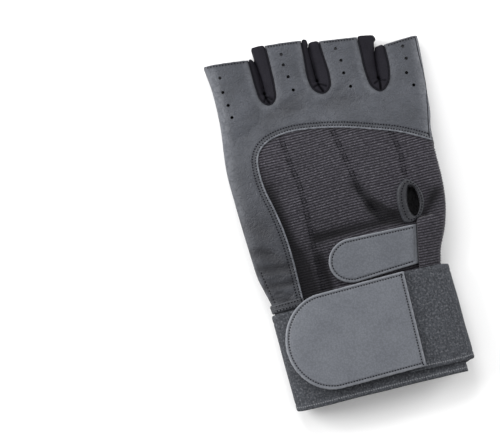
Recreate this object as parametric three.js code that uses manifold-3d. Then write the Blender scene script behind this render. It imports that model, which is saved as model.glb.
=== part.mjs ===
// A fingerless weightlifting glove for the right hand, lying on its palm with the thumb folded under.
// +Y runs to the fingertips, +X to the little finger, +Z to the back of the hand. Millimetres.
// Plan places below are read on the glove's own pattern and moved to the footprint's centre at the end.
import * as THREE from "three";
import { mergeVertices } from "three/addons/utils/BufferGeometryUtils.js";
import Module from "manifold-3d";

const wasm = await Module();
wasm.setup();

// Driving sizes
const LEATHER = 1.6; // wall of the dyed leather
const KNIT = 1.3; // wall of the ribbed stretch knit
const KNIT_SINK = 0.4; // the knit lies this far under the leather's face
const GUSSET_WALL = 1.2; // stretch cloth between the fingers
const GUSSET_SINK = 0.2;
const ELASTIC = 1.7; // wall of the woven elastic
const TAB = 1.8; // leather faced closure tabs
const GAP = 0.3; // clear space between neighbouring pieces
const PRESSED_ELASTIC = 1.5; // the same where it lies pressed on the table
const WRAP_WIDTH = 50.8; // two inch elastic
const WRAP_RISE = 6.2; // the wrap climbs this much towards the fingers over its whole length
const WRAP_TOP = -32.4; // place along the glove of the wrap's edge at its inner end
const WRAP_START = 0.93; // inner and outer ends of the elastic, as shares of the cuff's half width
const WRAP_END = 0.3;
const WRAP_LIFT_FROM = 1.8 * Math.PI; // angles between which it climbs onto its own first layer
const WRAP_LIFT_TO = 2.03 * Math.PI;
const WRAP_STEPS = 40;
const VENT_RADIUS = 0.85;
const VENT_SIDES = 6;
const VENT_FLOOR = 8; // the holes go through the back only
const VENTS_PER_FINGER = 4;
const QUILT_DEPTH = 0.8; // sewn channels in the knit
const QUILT_REACH = 0.05; // half width of a channel, as a share of the hand's half width
const BACK_POWER = 3; // how square the back's section is
const PALM_POWER = 4; // how square the palm's section is
const MOUTH_RUN = 3; // a hollow is cut this far out past its mouth
const CEILING = 60; // past the glove, for cutting bodies
const FLOOR = -20;
const REACH = 90;
const FOOTPRINT_CENTRE = { x: 6.547, y: 11.3 };

// The hand from cuff to knuckles: side edges, and the heights of palm and back
const HAND_ROWS = [
  { y: -52, left: -45.0, right: 43.6, bottom: 1.8, top: 15.5 },
  { y: -30, left: -45.0, right: 43.6, bottom: 1.8, top: 15.5 },
  { y: -24, left: -45.6, right: 44.7, bottom: 2.4, top: 15.9 },
  { y: -18, left: -47.0, right: 46.6, bottom: 3.6, top: 16.8 },
  { y: -10, left: -48.8, right: 50.4, bottom: 5.2, top: 18.6 },
  { y: -2, left: -49.3, right: 53.2, bottom: 6.6, top: 20.2 },
  { y: 6, left: -49.6, right: 54.9, bottom: 7.4, top: 21.4 },
  { y: 14, left: -49.9, right: 55.8, bottom: 7.6, top: 22.2 },
  { y: 22, left: -50.1, right: 56.0, bottom: 7.6, top: 22.6 },
  { y: 32, left: -50.2, right: 56.2, bottom: 7.4, top: 22.5 },
  { y: 42, left: -50.3, right: 56.9, bottom: 6.6, top: 21.9 },
  { y: 50, left: -49.8, right: 58.9, bottom: 5.4, top: 20.8 },
  { y: 58, left: -48.8, right: 59.9, bottom: 3.8, top: 19.3 },
  { y: 66, left: -47.6, right: 60.8, bottom: 2.2, top: 17.6 },
  { y: 74, left: -46.8, right: 61.9, bottom: 1.0, top: 15.9 },
  { y: 84, left: -46.3, right: 62.6, bottom: 0.2, top: 14.4 },
];

// Places across the back and the palm where a section has a point, as shares of its half width
const QUILT_LINES = [-0.38, 0.11, 0.64];
const BACK_COLUMNS = [
  0.98, 0.9, 0.78, 0.69, 0.64, 0.59, 0.38, 0.16, 0.11, 0.06, -0.13, -0.33, -0.38, -0.43, -0.62,
  -0.8, -0.92, -0.985,
];
const PALM_COLUMNS = [-0.97, -0.88, -0.72, -0.45, -0.15, 0.15, 0.45, 0.72, 0.88, 0.97];
const FINGER_BACK_COLUMNS = [0.96, 0.84, 0.6, 0.2, -0.2, -0.6, -0.84, -0.96];
const FINGER_PALM_COLUMNS = [-0.94, -0.75, -0.35, 0.35, 0.75, 0.94];

// Places along the glove where its leather and its knit have a section
const LEATHER_STATIONS = [-52, -30, -21, -13, -5, 4, 14, 26, 38, 49, 59, 70, 84];
const KNIT_STATIONS = [-52, -30, -25, -20, -15, -10, -5, 0, 5, 10, 15, 21, 28, 35, 42, 50, 60, 72, 84];

// Half fingers from inside the hand to the mouth, whose edge is cut at a slant
const FINGERS = [
  {
    name: "index",
    rows: [
      { y: 56, slant: 0, left: -46.6, right: -21.6, bottom: 5.6, top: 16.6 },
      { y: 66, slant: 0, left: -47.2, right: -21.1, bottom: 2.2, top: 17.0 },
      { y: 74, slant: 0, left: -46.8, right: -21.1, bottom: 0.4, top: 16.2 },
      { y: 81, slant: 0, left: -46.4, right: -21.1, bottom: -0.4, top: 15.3 },
      { y: 92, slant: 0, left: -46.4, right: -21.2, bottom: -0.4, top: 14.3 },
      { y: 103.1, slant: -3.2, left: -47.6, right: -21.7, bottom: -0.4, top: 13.7 },
    ],
    vents: { x: -40.7, y: 94.9, dx: 0.1, dy: -7.2 },
  },
  {
    name: "middle",
    rows: [
      { y: 56, slant: 0, left: -20.4, right: 6.6, bottom: 5.6, top: 18.4 },
      { y: 66, slant: 0, left: -20.3, right: 6.5, bottom: 1.9, top: 18.0 },
      { y: 74, slant: 0, left: -20.2, right: 6.4, bottom: 0.4, top: 17.0 },
      { y: 82, slant: 0, left: -20.1, right: 6.5, bottom: -0.4, top: 16.0 },
      { y: 92, slant: 0, left: -20.1, right: 6.7, bottom: -0.4, top: 15.1 },
      { y: 105.8, slant: -3.0, left: -20.7, right: 7.0, bottom: -0.4, top: 14.4 },
    ],
    vents: { x: -7.8, y: 98.9, dx: 0.3, dy: -6.8 },
  },
  {
    name: "ring",
    rows: [
      { y: 56, slant: 0, left: 7.4, right: 37.0, bottom: 5.6, top: 18.2 },
      { y: 66, slant: 0, left: 7.5, right: 36.8, bottom: 1.9, top: 17.8 },
      { y: 74, slant: 0, left: 7.6, right: 37.0, bottom: 0.4, top: 16.8 },
      { y: 82, slant: 0, left: 7.6, right: 37.6, bottom: -0.4, top: 15.8 },
      { y: 91, slant: 0, left: 7.7, right: 39.4, bottom: -0.4, top: 14.9 },
      { y: 101, slant: -5.1, left: 7.9, right: 41.2, bottom: -0.4, top: 14.2 },
    ],
    vents: { x: 20.1, y: 94.1, dx: 0.6, dy: -7.0 },
  },
  {
    name: "little",
    rows: [
      { y: 50, slant: 0, left: 38.0, right: 57.0, bottom: 6.8, top: 16.8 },
      { y: 61, slant: 0, left: 38.1, right: 60.0, bottom: 3.2, top: 16.6 },
      { y: 69, slant: 0, left: 38.4, right: 61.4, bottom: 1.0, top: 15.9 },
      { y: 76, slant: 0, left: 38.4, right: 62.2, bottom: -0.2, top: 14.8 },
      { y: 83, slant: 0, left: 39.2, right: 62.9, bottom: -0.4, top: 14.0 },
      { y: 89.7, slant: 1.0, left: 40.7, right: 63.4, bottom: -0.4, top: 13.4 },
    ],
    vents: { x: 54.2, y: 85.1, dx: -0.2, dy: -6.9 },
  },
];

// The hand ends here between the fingers; the fingers grow through it
const WEB_LINE = [
  [-70, 80.5],
  [-21, 80.5],
  [7, 80.0],
  [22, 77.0],
  [37.5, 73.0],
  [70, 68.0],
];

// Rounded notches in the leather of back and palm, filled by the gussets between the fingers
const GUSSETS = [
  {
    name: "index_middle",
    notch: [
      [-25.2, 112],
      [-24.3, 97],
      [-24.2, 84],
      [-23.2, 77.4],
      [-19.9, 74.6],
      [-16.4, 76.8],
      [-15.2, 82.5],
      [-14.6, 92],
      [-14.2, 112],
    ],
  },
  {
    name: "middle_ring",
    notch: [
      [5.1, 112],
      [3.9, 95],
      [2.9, 82],
      [4.4, 76.0],
      [8.6, 73.3],
      [12.3, 75.6],
      [13.6, 82],
      [13.2, 95],
      [13.6, 112],
    ],
  },
  {
    name: "ring_little",
    notch: [
      [32.4, 112],
      [32.7, 92],
      [32.2, 78],
      [33.4, 70.0],
      [37.2, 66.6],
      [41.8, 69.8],
      [44.3, 77],
      [45.1, 90],
      [46.2, 112],
    ],
  },
];

// Side seam height between back and palm, along the glove
const SEAM_ROWS = [
  { y: -60, z: 8.4 },
  { y: -20, z: 10.6 },
  { y: 20, z: 15.2 },
  { y: 50, z: 13.4 },
  { y: 75, z: 8.8 },
  { y: 120, z: 7.2 },
];

// Edge of the knit panel on the back, from the little finger's side round to the cuff
const KNIT_EDGE = [
  [64, 30.5],
  [55.3, 35.3],
  [40.4, 43.2],
  [26.0, 48.7],
  [11.5, 53.5],
  [-3.5, 56.8],
  [-13.8, 57.9],
  [-23.6, 56.7],
  [-29.7, 53.6],
  [-33.0, 49.1],
  [-34.2, 42.0],
  [-33.8, 32.0],
  [-31.6, 20.4],
  [-29.8, 7.5],
  [-29.2, -6.5],
  [-29.4, -22],
  [-29.4, -54],
];
// The knit turns under the little finger's side as far as this line
const KNIT_UNDER = [
  [56.4, 34],
  [52.6, 22],
  [49.8, 8],
  [48.6, -6],
  [45.6, -18],
  [42.4, -26],
  [41.6, -54],
];

// Main folds of the back, as lines in plan with a half width and a depth
const KNIT_FOLDS = [
  { x0: 12, y0: 24, x1: 30, y1: -2, reach: 5, depth: 1.5 },
  { x0: -16, y0: 3, x1: 28, y1: -1, reach: 4.5, depth: 1.1 },
  { x0: -28, y0: 30, x1: -22, y1: -24, reach: 5, depth: 0.9 },
  { x0: 41, y0: -1, x1: 51, y1: 8, reach: 4.5, depth: 1.1 },
];
const LEATHER_FOLDS = [
  { x0: -50, y0: -6, x1: -33, y1: -12, reach: 4, depth: 0.9 },
  { x0: -48, y0: -17, x1: -33, y1: -16, reach: 3.4, depth: 0.8 },
  { x0: -52, y0: 19, x1: -40, y1: 12, reach: 4.5, depth: 0.7 },
  { x0: -20, y0: 68, x1: -6, y1: 70, reach: 5, depth: 0.7 },
  { x0: 8, y0: 66, x1: 22, y1: 66, reach: 5, depth: 0.6 },
];

// The folded thumb, from its closed root to its mouth, between its left and right edges in plan
const THUMB_ROWS = [
  { lx: -41.6, ly: 9, rx: -28.0, ry: -14.5, bottom: 3.2, top: 8.0 },
  { lx: -42.0, ly: 17, rx: -22.0, ry: -13.0, bottom: 0.8, top: 8.7 },
  { lx: -41.2, ly: 26, rx: -16.5, ry: -6.5, bottom: -0.3, top: 9.0 },
  { lx: -35.4, ly: 36, rx: -8.5, ry: 3.5, bottom: -0.5, top: 9.1 },
  { lx: -28.6, ly: 43.4, rx: -1.2, ry: 13, bottom: -0.5, top: 9.1 },
  { lx: -22.6, ly: 50.4, rx: 5.2, ry: 23, bottom: -0.5, top: 8.9 },
  { lx: -18.4, ly: 56.8, rx: 10.6, ry: 33, bottom: -0.5, top: 8.8 },
  { lx: -15.1, ly: 62.5, rx: 15.2, ry: 43, bottom: -0.5, top: 8.8 },
];
const THUMB_COLUMNS = [0.95, 0.8, 0.5, 0, -0.5, -0.8, -0.95];
const THUMB_POWER = 3;
const THUMB_KNIT_SEAM = [
  [-27.4, 42.4],
  [-5.0, 7.6],
];
const THUMB_HOLE_FLOOR = 5; // the hole from thumb to palm leaves the thumb's underside whole
const THUMB_HOLE = [
  [-36.6, 24],
  [-37.0, 10],
  [-31, -4.5],
  [-23, -6.5],
  [-14, 2],
  [-12.6, 13],
  [-21.5, 27],
  [-30.5, 31],
];

// The palm's leather is in two pieces, sewn together along this line under the fingers
const PALM_SEAM = [
  [-90, 61.5],
  [-46.5, 60.2],
  [-19.5, 58.8],
  [-2, 56.1],
  [18.8, 53.6],
  [37.5, 51.3],
  [53.5, 48.8],
  [90, 43],
];

// Second leather layer on the palm, and the three padded bars under the index finger
const PALM_PATCH = [
  [-2, 54.9],
  [18.8, 52.4],
  [37.5, 50.1],
  [53.5, 47.6],
  [51.6, 34],
  [48.4, 18],
  [46.6, -5.3],
  [32.7, -2.8],
  [18.1, -0.9],
  [10.4, 13.3],
  [5.2, 23.1],
];
const PATCH_WALL = 1.4;
const PALM_BARS = [
  {
    leftLow: { x: -46.5, y: 49.6 },
    leftHigh: { x: -46.5, y: 59.0 },
    rightLow: { x: -25.0, y: 50.4 },
    rightHigh: { x: -19.5, y: 57.6 },
  },
  {
    leftLow: { x: -46.5, y: 41.6 },
    leftHigh: { x: -46.5, y: 48.6 },
    rightLow: { x: -32.0, y: 42.2 },
    rightHigh: { x: -26.4, y: 49.3 },
  },
  {
    leftLow: { x: -46.5, y: 34.6 },
    leftHigh: { x: -46.5, y: 40.6 },
    rightLow: { x: -38.6, y: 35.0 },
    rightHigh: { x: -33.2, y: 41.2 },
  },
];
const BAR_DEPTH = 2.4;
const BAR_EDGE = 0.3;

// Small strap that closes the slit, the large tab of the wrap, and the hook strip under it
const STRAP = {
  left: -12.3,
  endX: 0,
  high: -2.8,
  low: -25.3,
  rightHigh: { x: 36.6, y: -4.4 },
  rightLow: { x: 36.6, y: -23.9 },
};
const WRAP_TAB = {
  left: -44.3,
  endX: -21.5,
  high: -26.0,
  low: -75.4,
  rightHigh: { x: 23.4, y: -26.0 },
  rightLow: { x: 22.0, y: -75.4 },
};
const HOOK_PAD = {
  left: -40.8,
  endX: -21.5,
  high: -33.5,
  low: -71.9,
  rightHigh: { x: 9.5, y: -33.5 },
  rightLow: { x: 9.5, y: -71.9 },
};
const TAB_LIFT = 4.3; // the wrap's tab lies over both layers of elastic

// Leaf shaped binding round the top of the slit
const SLIT_TRIM = [
  [35.4, 18.3],
  [31.2, 15.0],
  [29.9, 7.5],
  [31.4, 0.4],
  [34.8, -2.6],
  [39.6, -0.4],
  [43.0, 5.6],
  [42.9, 11.2],
  [39.6, 16.6],
];
const SLIT_HOLE = [
  [36.3, 13.9],
  [34.9, 8.6],
  [35.6, 2.2],
  [38.2, 1.2],
  [39.2, 7.0],
  [38.4, 12.4],
];
const TRIM_WALL = 1.2;
// The knit's free edge over the strap's root rises to here, and dies away towards the side
const FLAP = { left: 37.0, share: 0.9, low: -25.5, high: -1.5, rise: 2.4 };
const HEM = { right: -29.8, low: -29.2, high: -25.2, floor: 9.6, wall: 1.0 };

// Reads one column of a table at a place along it, with smooth slopes through the rows
function readTable(rows, key, place, column) {
  const last = rows.length - 1;
  const at = Math.min(Math.max(place, rows[0][key]), rows[last][key]);
  let i = 0;
  while (i < last - 1 && at > rows[i + 1][key]) i += 1;
  const slope = (j) => {
    const a = rows[Math.max(j - 1, 0)];
    const b = rows[Math.min(j + 1, last)];
    return (b[column] - a[column]) / (b[key] - a[key]);
  };
  const from = rows[i];
  const to = rows[i + 1];
  const span = to[key] - from[key];
  const t = (at - from[key]) / span;
  const t2 = t * t;
  const t3 = t2 * t;
  return (
    (2 * t3 - 3 * t2 + 1) * from[column] +
    (t3 - 2 * t2 + t) * span * slope(i) +
    (3 * t2 - 2 * t3) * to[column] +
    (t3 - t2) * span * slope(i + 1)
  );
}

// A closed three.js mesh as a solid that can be cut and joined
function solid(geometry) {
  const bare = new THREE.BufferGeometry();
  bare.setAttribute("position", geometry.getAttribute("position"));
  if (geometry.index) bare.setIndex(geometry.index);
  const merged = mergeVertices(bare, 1e-4);
  return new wasm.Manifold(
    new wasm.Mesh({
      numProp: 3,
      vertProperties: merged.getAttribute("position").array,
      triVerts: new Uint32Array(merged.index.array),
    }),
  );
}

// A closed solid between like rings of points. Its ends are fans, or strips across a thin plate
function loft(rings, thinPlate = false) {
  const n = rings[0].length;
  const points = rings.flat();
  const faces = [];
  for (let i = 0; i < rings.length - 1; i += 1) {
    for (let j = 0; j < n; j += 1) {
      const a = i * n + j;
      const b = i * n + ((j + 1) % n);
      faces.push([a, b, a + n], [b, b + n, a + n]);
    }
  }
  const endFaces = thinPlate ? stripFaces : fanFaces;
  faces.push(...endFaces(points, 0, n));
  faces.push(...endFaces(points, (rings.length - 1) * n, n).map(turned));
  const body = fromFaces(points, faces);
  return body.volume() > 0 ? body : fromFaces(points, faces.map(turned));
}

function turned([a, b, c]) {
  return [a, c, b];
}

function fromFaces(points, faces) {
  const geometry = new THREE.BufferGeometry().setFromPoints(points);
  geometry.setIndex(faces.flat());
  return solid(geometry);
}

function fanFaces(points, base, n) {
  const ring = points.slice(base, base + n);
  const hub = points.push(ring.reduce((sum, p) => sum.add(p), new THREE.Vector3()).divideScalar(n)) - 1;
  return ring.map((_, j) => [hub, base + ((j + 1) % n), base + j]);
}

function stripFaces(points, base, n) {
  const faces = [];
  for (let j = 0; j < n / 2 - 1; j += 1) {
    const under = base + j;
    const over = base + n - 1 - j;
    faces.push([under, over, under + 1], [under + 1, over, over - 1]);
  }
  return faces;
}

function toVector2([x, y]) {
  return new THREE.Vector2(x, y);
}

function toShape(outline) {
  return outline instanceof THREE.Shape ? outline : new THREE.Shape(outline.map(toVector2));
}

// A straight sided solid over a plan outline
function prism(outline, low = FLOOR, high = CEILING) {
  const options = { depth: high - low, bevelEnabled: false, curveSegments: 14 };
  const geometry = new THREE.ExtrudeGeometry(toShape(outline), options);
  geometry.translate(0, 0, low);
  return solid(geometry);
}

// A plate between a lower and an upper height, over a grid of plan places
function sheet(columns, rows, place, low, high) {
  const rings = [];
  for (let i = 0; i <= columns; i += 1) {
    const under = [];
    const over = [];
    for (let j = 0; j <= rows; j += 1) {
      const u = i / columns;
      const v = j / rows;
      const [x, y] = place(u, v);
      under.push(new THREE.Vector3(x, y, low(x, y, u, v)));
      over.unshift(new THREE.Vector3(x, y, high(x, y, u, v)));
    }
    rings.push([...under, ...over]);
  }
  return loft(rings, true);
}

// A plate trimmed to a plan outline
function cutSheet(outline, columns, rows, low, high) {
  const shape = toShape(outline);
  const box = new THREE.Box2().setFromPoints(shape.getPoints()).expandByScalar(1);
  const place = (u, v) => [
    THREE.MathUtils.lerp(box.min.x, box.max.x, u),
    THREE.MathUtils.lerp(box.min.y, box.max.y, v),
  ];
  return sheet(columns, rows, place, low, high).intersect(prism(shape));
}

// Points of a smooth curve through the given ones, open or closed
function curvePoints(points, count, closed = false) {
  const corners = points.map(([x, y]) => new THREE.Vector3(x, y, 0));
  const curve = new THREE.CatmullRomCurve3(corners, closed, "centripetal");
  const made = curve.getPoints(count).map((p) => [p.x, p.y]);
  if (closed) made.pop();
  return made;
}

// The outline moved outwards by a distance, whichever way it runs
function grown(points, distance) {
  const side = Math.sign(THREE.ShapeUtils.area(points.map(toVector2))) * distance;
  return points.map((p, i) => {
    const before = toVector2(points[(i + points.length - 1) % points.length]);
    const after = toVector2(points[(i + 1) % points.length]);
    const along = after.sub(before).normalize();
    return [p[0] + along.y * side, p[1] - along.x * side];
  });
}

// Height of a squared arch at a share of its half width, where its crown is 1
function arch(share, power) {
  return (1 - Math.min(1, Math.abs(share)) ** power) ** (1 / power);
}

function handRow(y) {
  const row = {};
  for (const column of ["left", "right", "bottom", "top"]) row[column] = readTable(HAND_ROWS, "y", y, column);
  row.middle = (row.left + row.right) / 2;
  row.half = (row.right - row.left) / 2;
  row.waist = (row.bottom + row.top) / 2;
  return row;
}

// Height of the back, or of the palm, over a plan place, with the wall grown outwards
function backHeight(x, y, grow) {
  const row = handRow(y);
  const share = (x - row.middle) / (row.half + grow);
  return row.waist + (row.top - row.waist + grow) * arch(share, BACK_POWER);
}

function palmHeight(x, y, grow) {
  const row = handRow(y);
  const share = (x - row.middle) / (row.half + grow);
  return row.waist - (row.waist - row.bottom + grow) * arch(share, PALM_POWER);
}

// Depth of the folds at a plan place: each is a rounded valley that dies away at its ends
function foldDepth(folds, x, y) {
  let depth = 0;
  for (const fold of folds) {
    const run = new THREE.Vector2(fold.x1 - fold.x0, fold.y1 - fold.y0);
    const from = new THREE.Vector2(x - fold.x0, y - fold.y0);
    const t = THREE.MathUtils.clamp(from.dot(run) / run.lengthSq(), 0, 1);
    const away = from.distanceTo(run.clone().multiplyScalar(t)) / fold.reach;
    depth += fold.depth * Math.exp(-away * away);
  }
  return depth;
}

// Sewn channels run the length of the knit, with the cloth puffed up between them
function quiltDepth(share) {
  let depth = 0;
  for (const line of QUILT_LINES) {
    const away = Math.abs(share - line) / QUILT_REACH;
    if (away < 1) depth = Math.max(depth, QUILT_DEPTH * (1 - away));
  }
  return depth;
}

const noRelief = () => 0;
const leatherRelief = (share, x, y) => foldDepth(LEATHER_FOLDS, x, y);
const knitRelief = (share, x, y) => foldDepth(KNIT_FOLDS, x, y) + quiltDepth(share);

// The hand as one closed body, grown or shrunk, with the relief of one of its cloths
function handBody(grow, relief, stations) {
  const rings = stations.map((y) => {
    const row = handRow(y);
    const half = row.half + grow;
    const point = (share, height) => {
      const x = row.middle + half * share;
      return new THREE.Vector3(x, y, Math.max(0, height(x)));
    };
    const waist = () => row.waist;
    const palm = (x) => palmHeight(x, y, grow);
    const back = (share) => (x) => backHeight(x, y, grow) - relief(share, x, y) * arch(share, 2);
    return [
      point(1, waist),
      ...BACK_COLUMNS.map((share) => point(share, back(share))),
      point(-1, waist),
      ...PALM_COLUMNS.map((share) => point(share, palm)),
    ];
  });
  const web = WEB_LINE.map(([x, y]) => [x, y + grow]);
  const cuff = stations[0] - 1;
  return loft(rings).intersect(prism([[web[0][0], cuff], ...web, [web[web.length - 1][0], cuff]]));
}

// One half finger; past is how far its mouth is drawn out beyond the cut edge
function fingerBody(finger, grow, past) {
  const last = finger.rows.length - 1;
  const rings = finger.rows.map((row, i) => {
    const middle = (row.left + row.right) / 2;
    const half = (row.right - row.left) / 2 + grow;
    const waist = (row.bottom + row.top) / 2;
    const reach = row.top - waist + grow;
    const point = (share, rise) => {
      const y = row.y + (row.slant * (1 + share)) / 2 + (i === last ? past : 0);
      return new THREE.Vector3(middle + half * share, y, Math.max(0, waist + reach * rise));
    };
    return [
      point(1, 0),
      ...FINGER_BACK_COLUMNS.map((share) => point(share, arch(share, BACK_POWER))),
      point(-1, 0),
      ...FINGER_PALM_COLUMNS.map((share) => point(share, -arch(share, PALM_POWER))),
    ];
  });
  return loft(rings);
}

// The thumb, with its far end drawn out by past and its root by the same growth as its sides
function thumbBody(grow, past) {
  const last = THUMB_ROWS.length - 1;
  const rings = THUMB_ROWS.map((row, i) => {
    const right = new THREE.Vector3(row.rx, row.ry, 0);
    const middle = new THREE.Vector3(row.lx, row.ly, 0).add(right).divideScalar(2);
    const across = right.sub(middle);
    const half = across.length();
    across.divideScalar(half);
    const ahead = new THREE.Vector3(-across.y, across.x, 0);
    if (i === 0) middle.addScaledVector(ahead, -grow);
    if (i === last) middle.addScaledVector(ahead, past);
    const waist = (row.bottom + row.top) / 2;
    const reach = row.top - waist + grow;
    const point = (share, side) => {
      const at = middle.clone().addScaledVector(across, (half + grow) * share);
      at.z = Math.max(0, waist + side * reach * arch(share, THUMB_POWER));
      return at;
    };
    return [
      point(1, 0),
      ...THUMB_COLUMNS.map((share) => point(share, 1)),
      point(-1, 0),
      ...THUMB_COLUMNS.map((share) => point(-share, -1)),
    ];
  });
  return loft(rings);
}

// Everything above or below the side seam
function seamHalf(above) {
  const line = SEAM_ROWS.map(({ y, z }) => [y, z + (above ? GAP / 2 : -GAP / 2)]);
  const end = above ? CEILING : FLOOR;
  const outline = toShape([...line, [line[line.length - 1][0], end], [line[0][0], end]]);
  const geometry = new THREE.ExtrudeGeometry(outline, { depth: 2 * REACH, bevelEnabled: false });
  geometry.translate(0, 0, -REACH);
  const alongY = new THREE.Vector3(0, 1, 0);
  const alongZ = new THREE.Vector3(0, 0, 1);
  const alongX = new THREE.Vector3(1, 0, 0);
  geometry.applyMatrix4(new THREE.Matrix4().makeBasis(alongY, alongZ, alongX));
  return solid(geometry);
}

// Hand and fingers in one body
function gloveBody(grow, relief, stations, past) {
  const hand = handBody(grow, relief, stations);
  return FINGERS.reduce((body, finger) => body.add(fingerBody(finger, grow, past)), hand);
}

// The glove's wall, open at cuff and fingertips, dented over the folded thumb
function gloveSkin(relief, sink, wall, stations) {
  const throughCuff = [stations[0] - MOUTH_RUN, ...stations.slice(1)];
  const hollow = gloveBody(-sink - wall, relief, throughCuff, MOUTH_RUN).subtract(
    thumbBody(GAP + wall, GAP + wall),
  );
  return gloveBody(-sink, relief, stations, 0).subtract(thumbBody(GAP, GAP)).subtract(hollow);
}

// Plan regions that the knit takes up above and below the side seam
function knitRegions(extra) {
  const [farX, cuffY] = [REACH, KNIT_EDGE[KNIT_EDGE.length - 1][1]];
  const panel = prism(grown([...curvePoints(KNIT_EDGE, 32), [farX, cuffY]], extra));
  const corners = [
    [farX, cuffY],
    [farX, KNIT_UNDER[0][1]],
  ];
  const under = prism(grown([...curvePoints(KNIT_UNDER, 12), ...corners], extra));
  return { panel, under };
}

function gussetPrism(gusset, extra) {
  return prism(grown(curvePoints(gusset.notch, 12), extra));
}

function ventHoles() {
  const holes = [];
  for (const { vents } of FINGERS) {
    for (let i = 0; i < VENTS_PER_FINGER; i += 1) {
      const hole = new THREE.CylinderGeometry(VENT_RADIUS, VENT_RADIUS, CEILING, VENT_SIDES);
      hole.rotateX(Math.PI / 2);
      hole.translate(vents.x + vents.dx * i, vents.y + vents.dy * i, VENT_FLOOR + CEILING / 2);
      holes.push(solid(hole));
    }
  }
  return holes.reduce((a, b) => a.add(b));
}

const upperHalf = seamHalf(true);
const lowerHalf = seamHalf(false);
const leatherSkin = gloveSkin(leatherRelief, 0, LEATHER, LEATHER_STATIONS);
const nearSkin = gloveBody(GAP, noRelief, LEATHER_STATIONS, 0);
const knitPlace = knitRegions(-GAP / 2);
const knitRoom = knitRegions(GAP / 2);
const gussetRoom = GUSSETS.map((each) => gussetPrism(each, GAP / 2)).reduce((a, b) => a.add(b));
const thumbHole = curvePoints(THUMB_HOLE, 14, true);
const slitHole = prism(curvePoints(SLIT_HOLE, 14, true));

function backYoke() {
  const leather = leatherSkin.intersect(upperHalf).subtract(knitRoom.panel);
  return leather.subtract(gussetRoom).subtract(ventHoles());
}

// The leather of the palm, or of the fingers' undersides
function palmLeather(isFingers) {
  const leather = leatherSkin.intersect(lowerHalf).subtract(knitRoom.under);
  const seam = PALM_SEAM.map(([x, y]) => [x, y + (isFingers ? GAP / 2 : -GAP / 2)]);
  const end = isFingers ? 2 * REACH : -REACH;
  const side = prism([...seam, [REACH, end], [-REACH, end]]);
  return leather.intersect(side).subtract(gussetRoom).subtract(prism(thumbHole));
}

function gussetPiece(each) {
  const skin = gloveSkin(noRelief, GUSSET_SINK, GUSSET_WALL, LEATHER_STATIONS);
  return skin.intersect(gussetPrism(each, -GAP / 2));
}

// The knit, and its free edge that laps over the strap's root
function backPanel() {
  const skin = gloveSkin(knitRelief, KNIT_SINK, KNIT, KNIT_STATIONS);
  const place = (u, v) => {
    const y = THREE.MathUtils.lerp(FLAP.low, FLAP.high, v);
    const row = handRow(y);
    return [THREE.MathUtils.lerp(FLAP.left, row.middle + row.half * FLAP.share, u), y];
  };
  const under = (x, y) => backHeight(x, y, -KNIT_SINK - KNIT / 2);
  const over = (x, y, u) => backHeight(x, y, (FLAP.rise + KNIT_SINK) * (1 - u) ** 1.5 - KNIT_SINK);
  const flap = sheet(5, 4, place, under, over);
  const region = knitPlace.panel.intersect(upperHalf).add(knitPlace.under);
  return skin.intersect(region).add(flap).subtract(slitHole);
}

// Plates that lie on the back start inside it, and are then cut clear of it
const insideBack = (x, y) => backHeight(x, y, -LEATHER);
const insidePalm = (x, y) => palmHeight(x, y, -LEATHER);

function slitTrim() {
  const top = (x, y) => backHeight(x, y, GAP + TRIM_WALL);
  const plate = cutSheet(curvePoints(SLIT_TRIM, 20, true), 5, 6, insideBack, top);
  const besideFlap = prism([
    [FLAP.left - GAP, FLAP.high + GAP],
    [REACH, FLAP.high + GAP],
    [REACH, FLAP.low],
    [FLAP.left - GAP, FLAP.low],
  ]);
  const besideStrap = prism(tabShape(STRAP, GAP));
  return plate.subtract(nearSkin).subtract(slitHole).subtract(besideFlap).subtract(besideStrap);
}

// A tab's plan: a straight root to the right, and half an ellipse at its free end
function tabShape(tab, extra) {
  const shape = new THREE.Shape();
  const middle = (tab.high + tab.low) / 2;
  const half = (tab.high - tab.low) / 2 + extra;
  shape.moveTo(tab.rightLow.x + extra, tab.rightLow.y - extra);
  shape.lineTo(tab.rightHigh.x + extra, tab.rightHigh.y + extra);
  shape.lineTo(tab.endX, middle + half);
  shape.absellipse(tab.endX, middle, tab.endX - tab.left + extra, half, Math.PI / 2, Math.PI * 1.5);
  return shape;
}

function closureStrap() {
  const top = (x, y) => backHeight(x, y, GAP + TAB);
  return cutSheet(tabShape(STRAP, 0), 10, 4, insideBack, top).subtract(nearSkin);
}

function palmPatch() {
  const face = (x, y) => palmHeight(x, y, GAP + PATCH_WALL);
  const plate = cutSheet(PALM_PATCH, 8, 7, face, insidePalm).subtract(nearSkin);
  return plate.subtract(thumbBody(2 * GAP, 2 * GAP)).subtract(knitRegions(GAP).under);
}

// A padded bar, rounded across and along
function palmBar(bar) {
  const place = (u, v) => {
    const startY = THREE.MathUtils.lerp(bar.leftLow.y, bar.leftHigh.y, v);
    const endY = THREE.MathUtils.lerp(bar.rightLow.y, bar.rightHigh.y, v);
    const endX = THREE.MathUtils.lerp(bar.rightLow.x, bar.rightHigh.x, v);
    return [THREE.MathUtils.lerp(bar.leftLow.x, endX, u), THREE.MathUtils.lerp(startY, endY, u)];
  };
  const swell = (u, v) => BAR_EDGE + (BAR_DEPTH - BAR_EDGE) * arch(2 * v - 1, 2) * arch(2 * u - 1, 6);
  const face = (x, y, u, v) => palmHeight(x, y, GAP + swell(u, v));
  return sheet(5, 5, place, face, insidePalm).subtract(nearSkin).subtract(thumbBody(2 * GAP, 2 * GAP));
}

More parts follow.
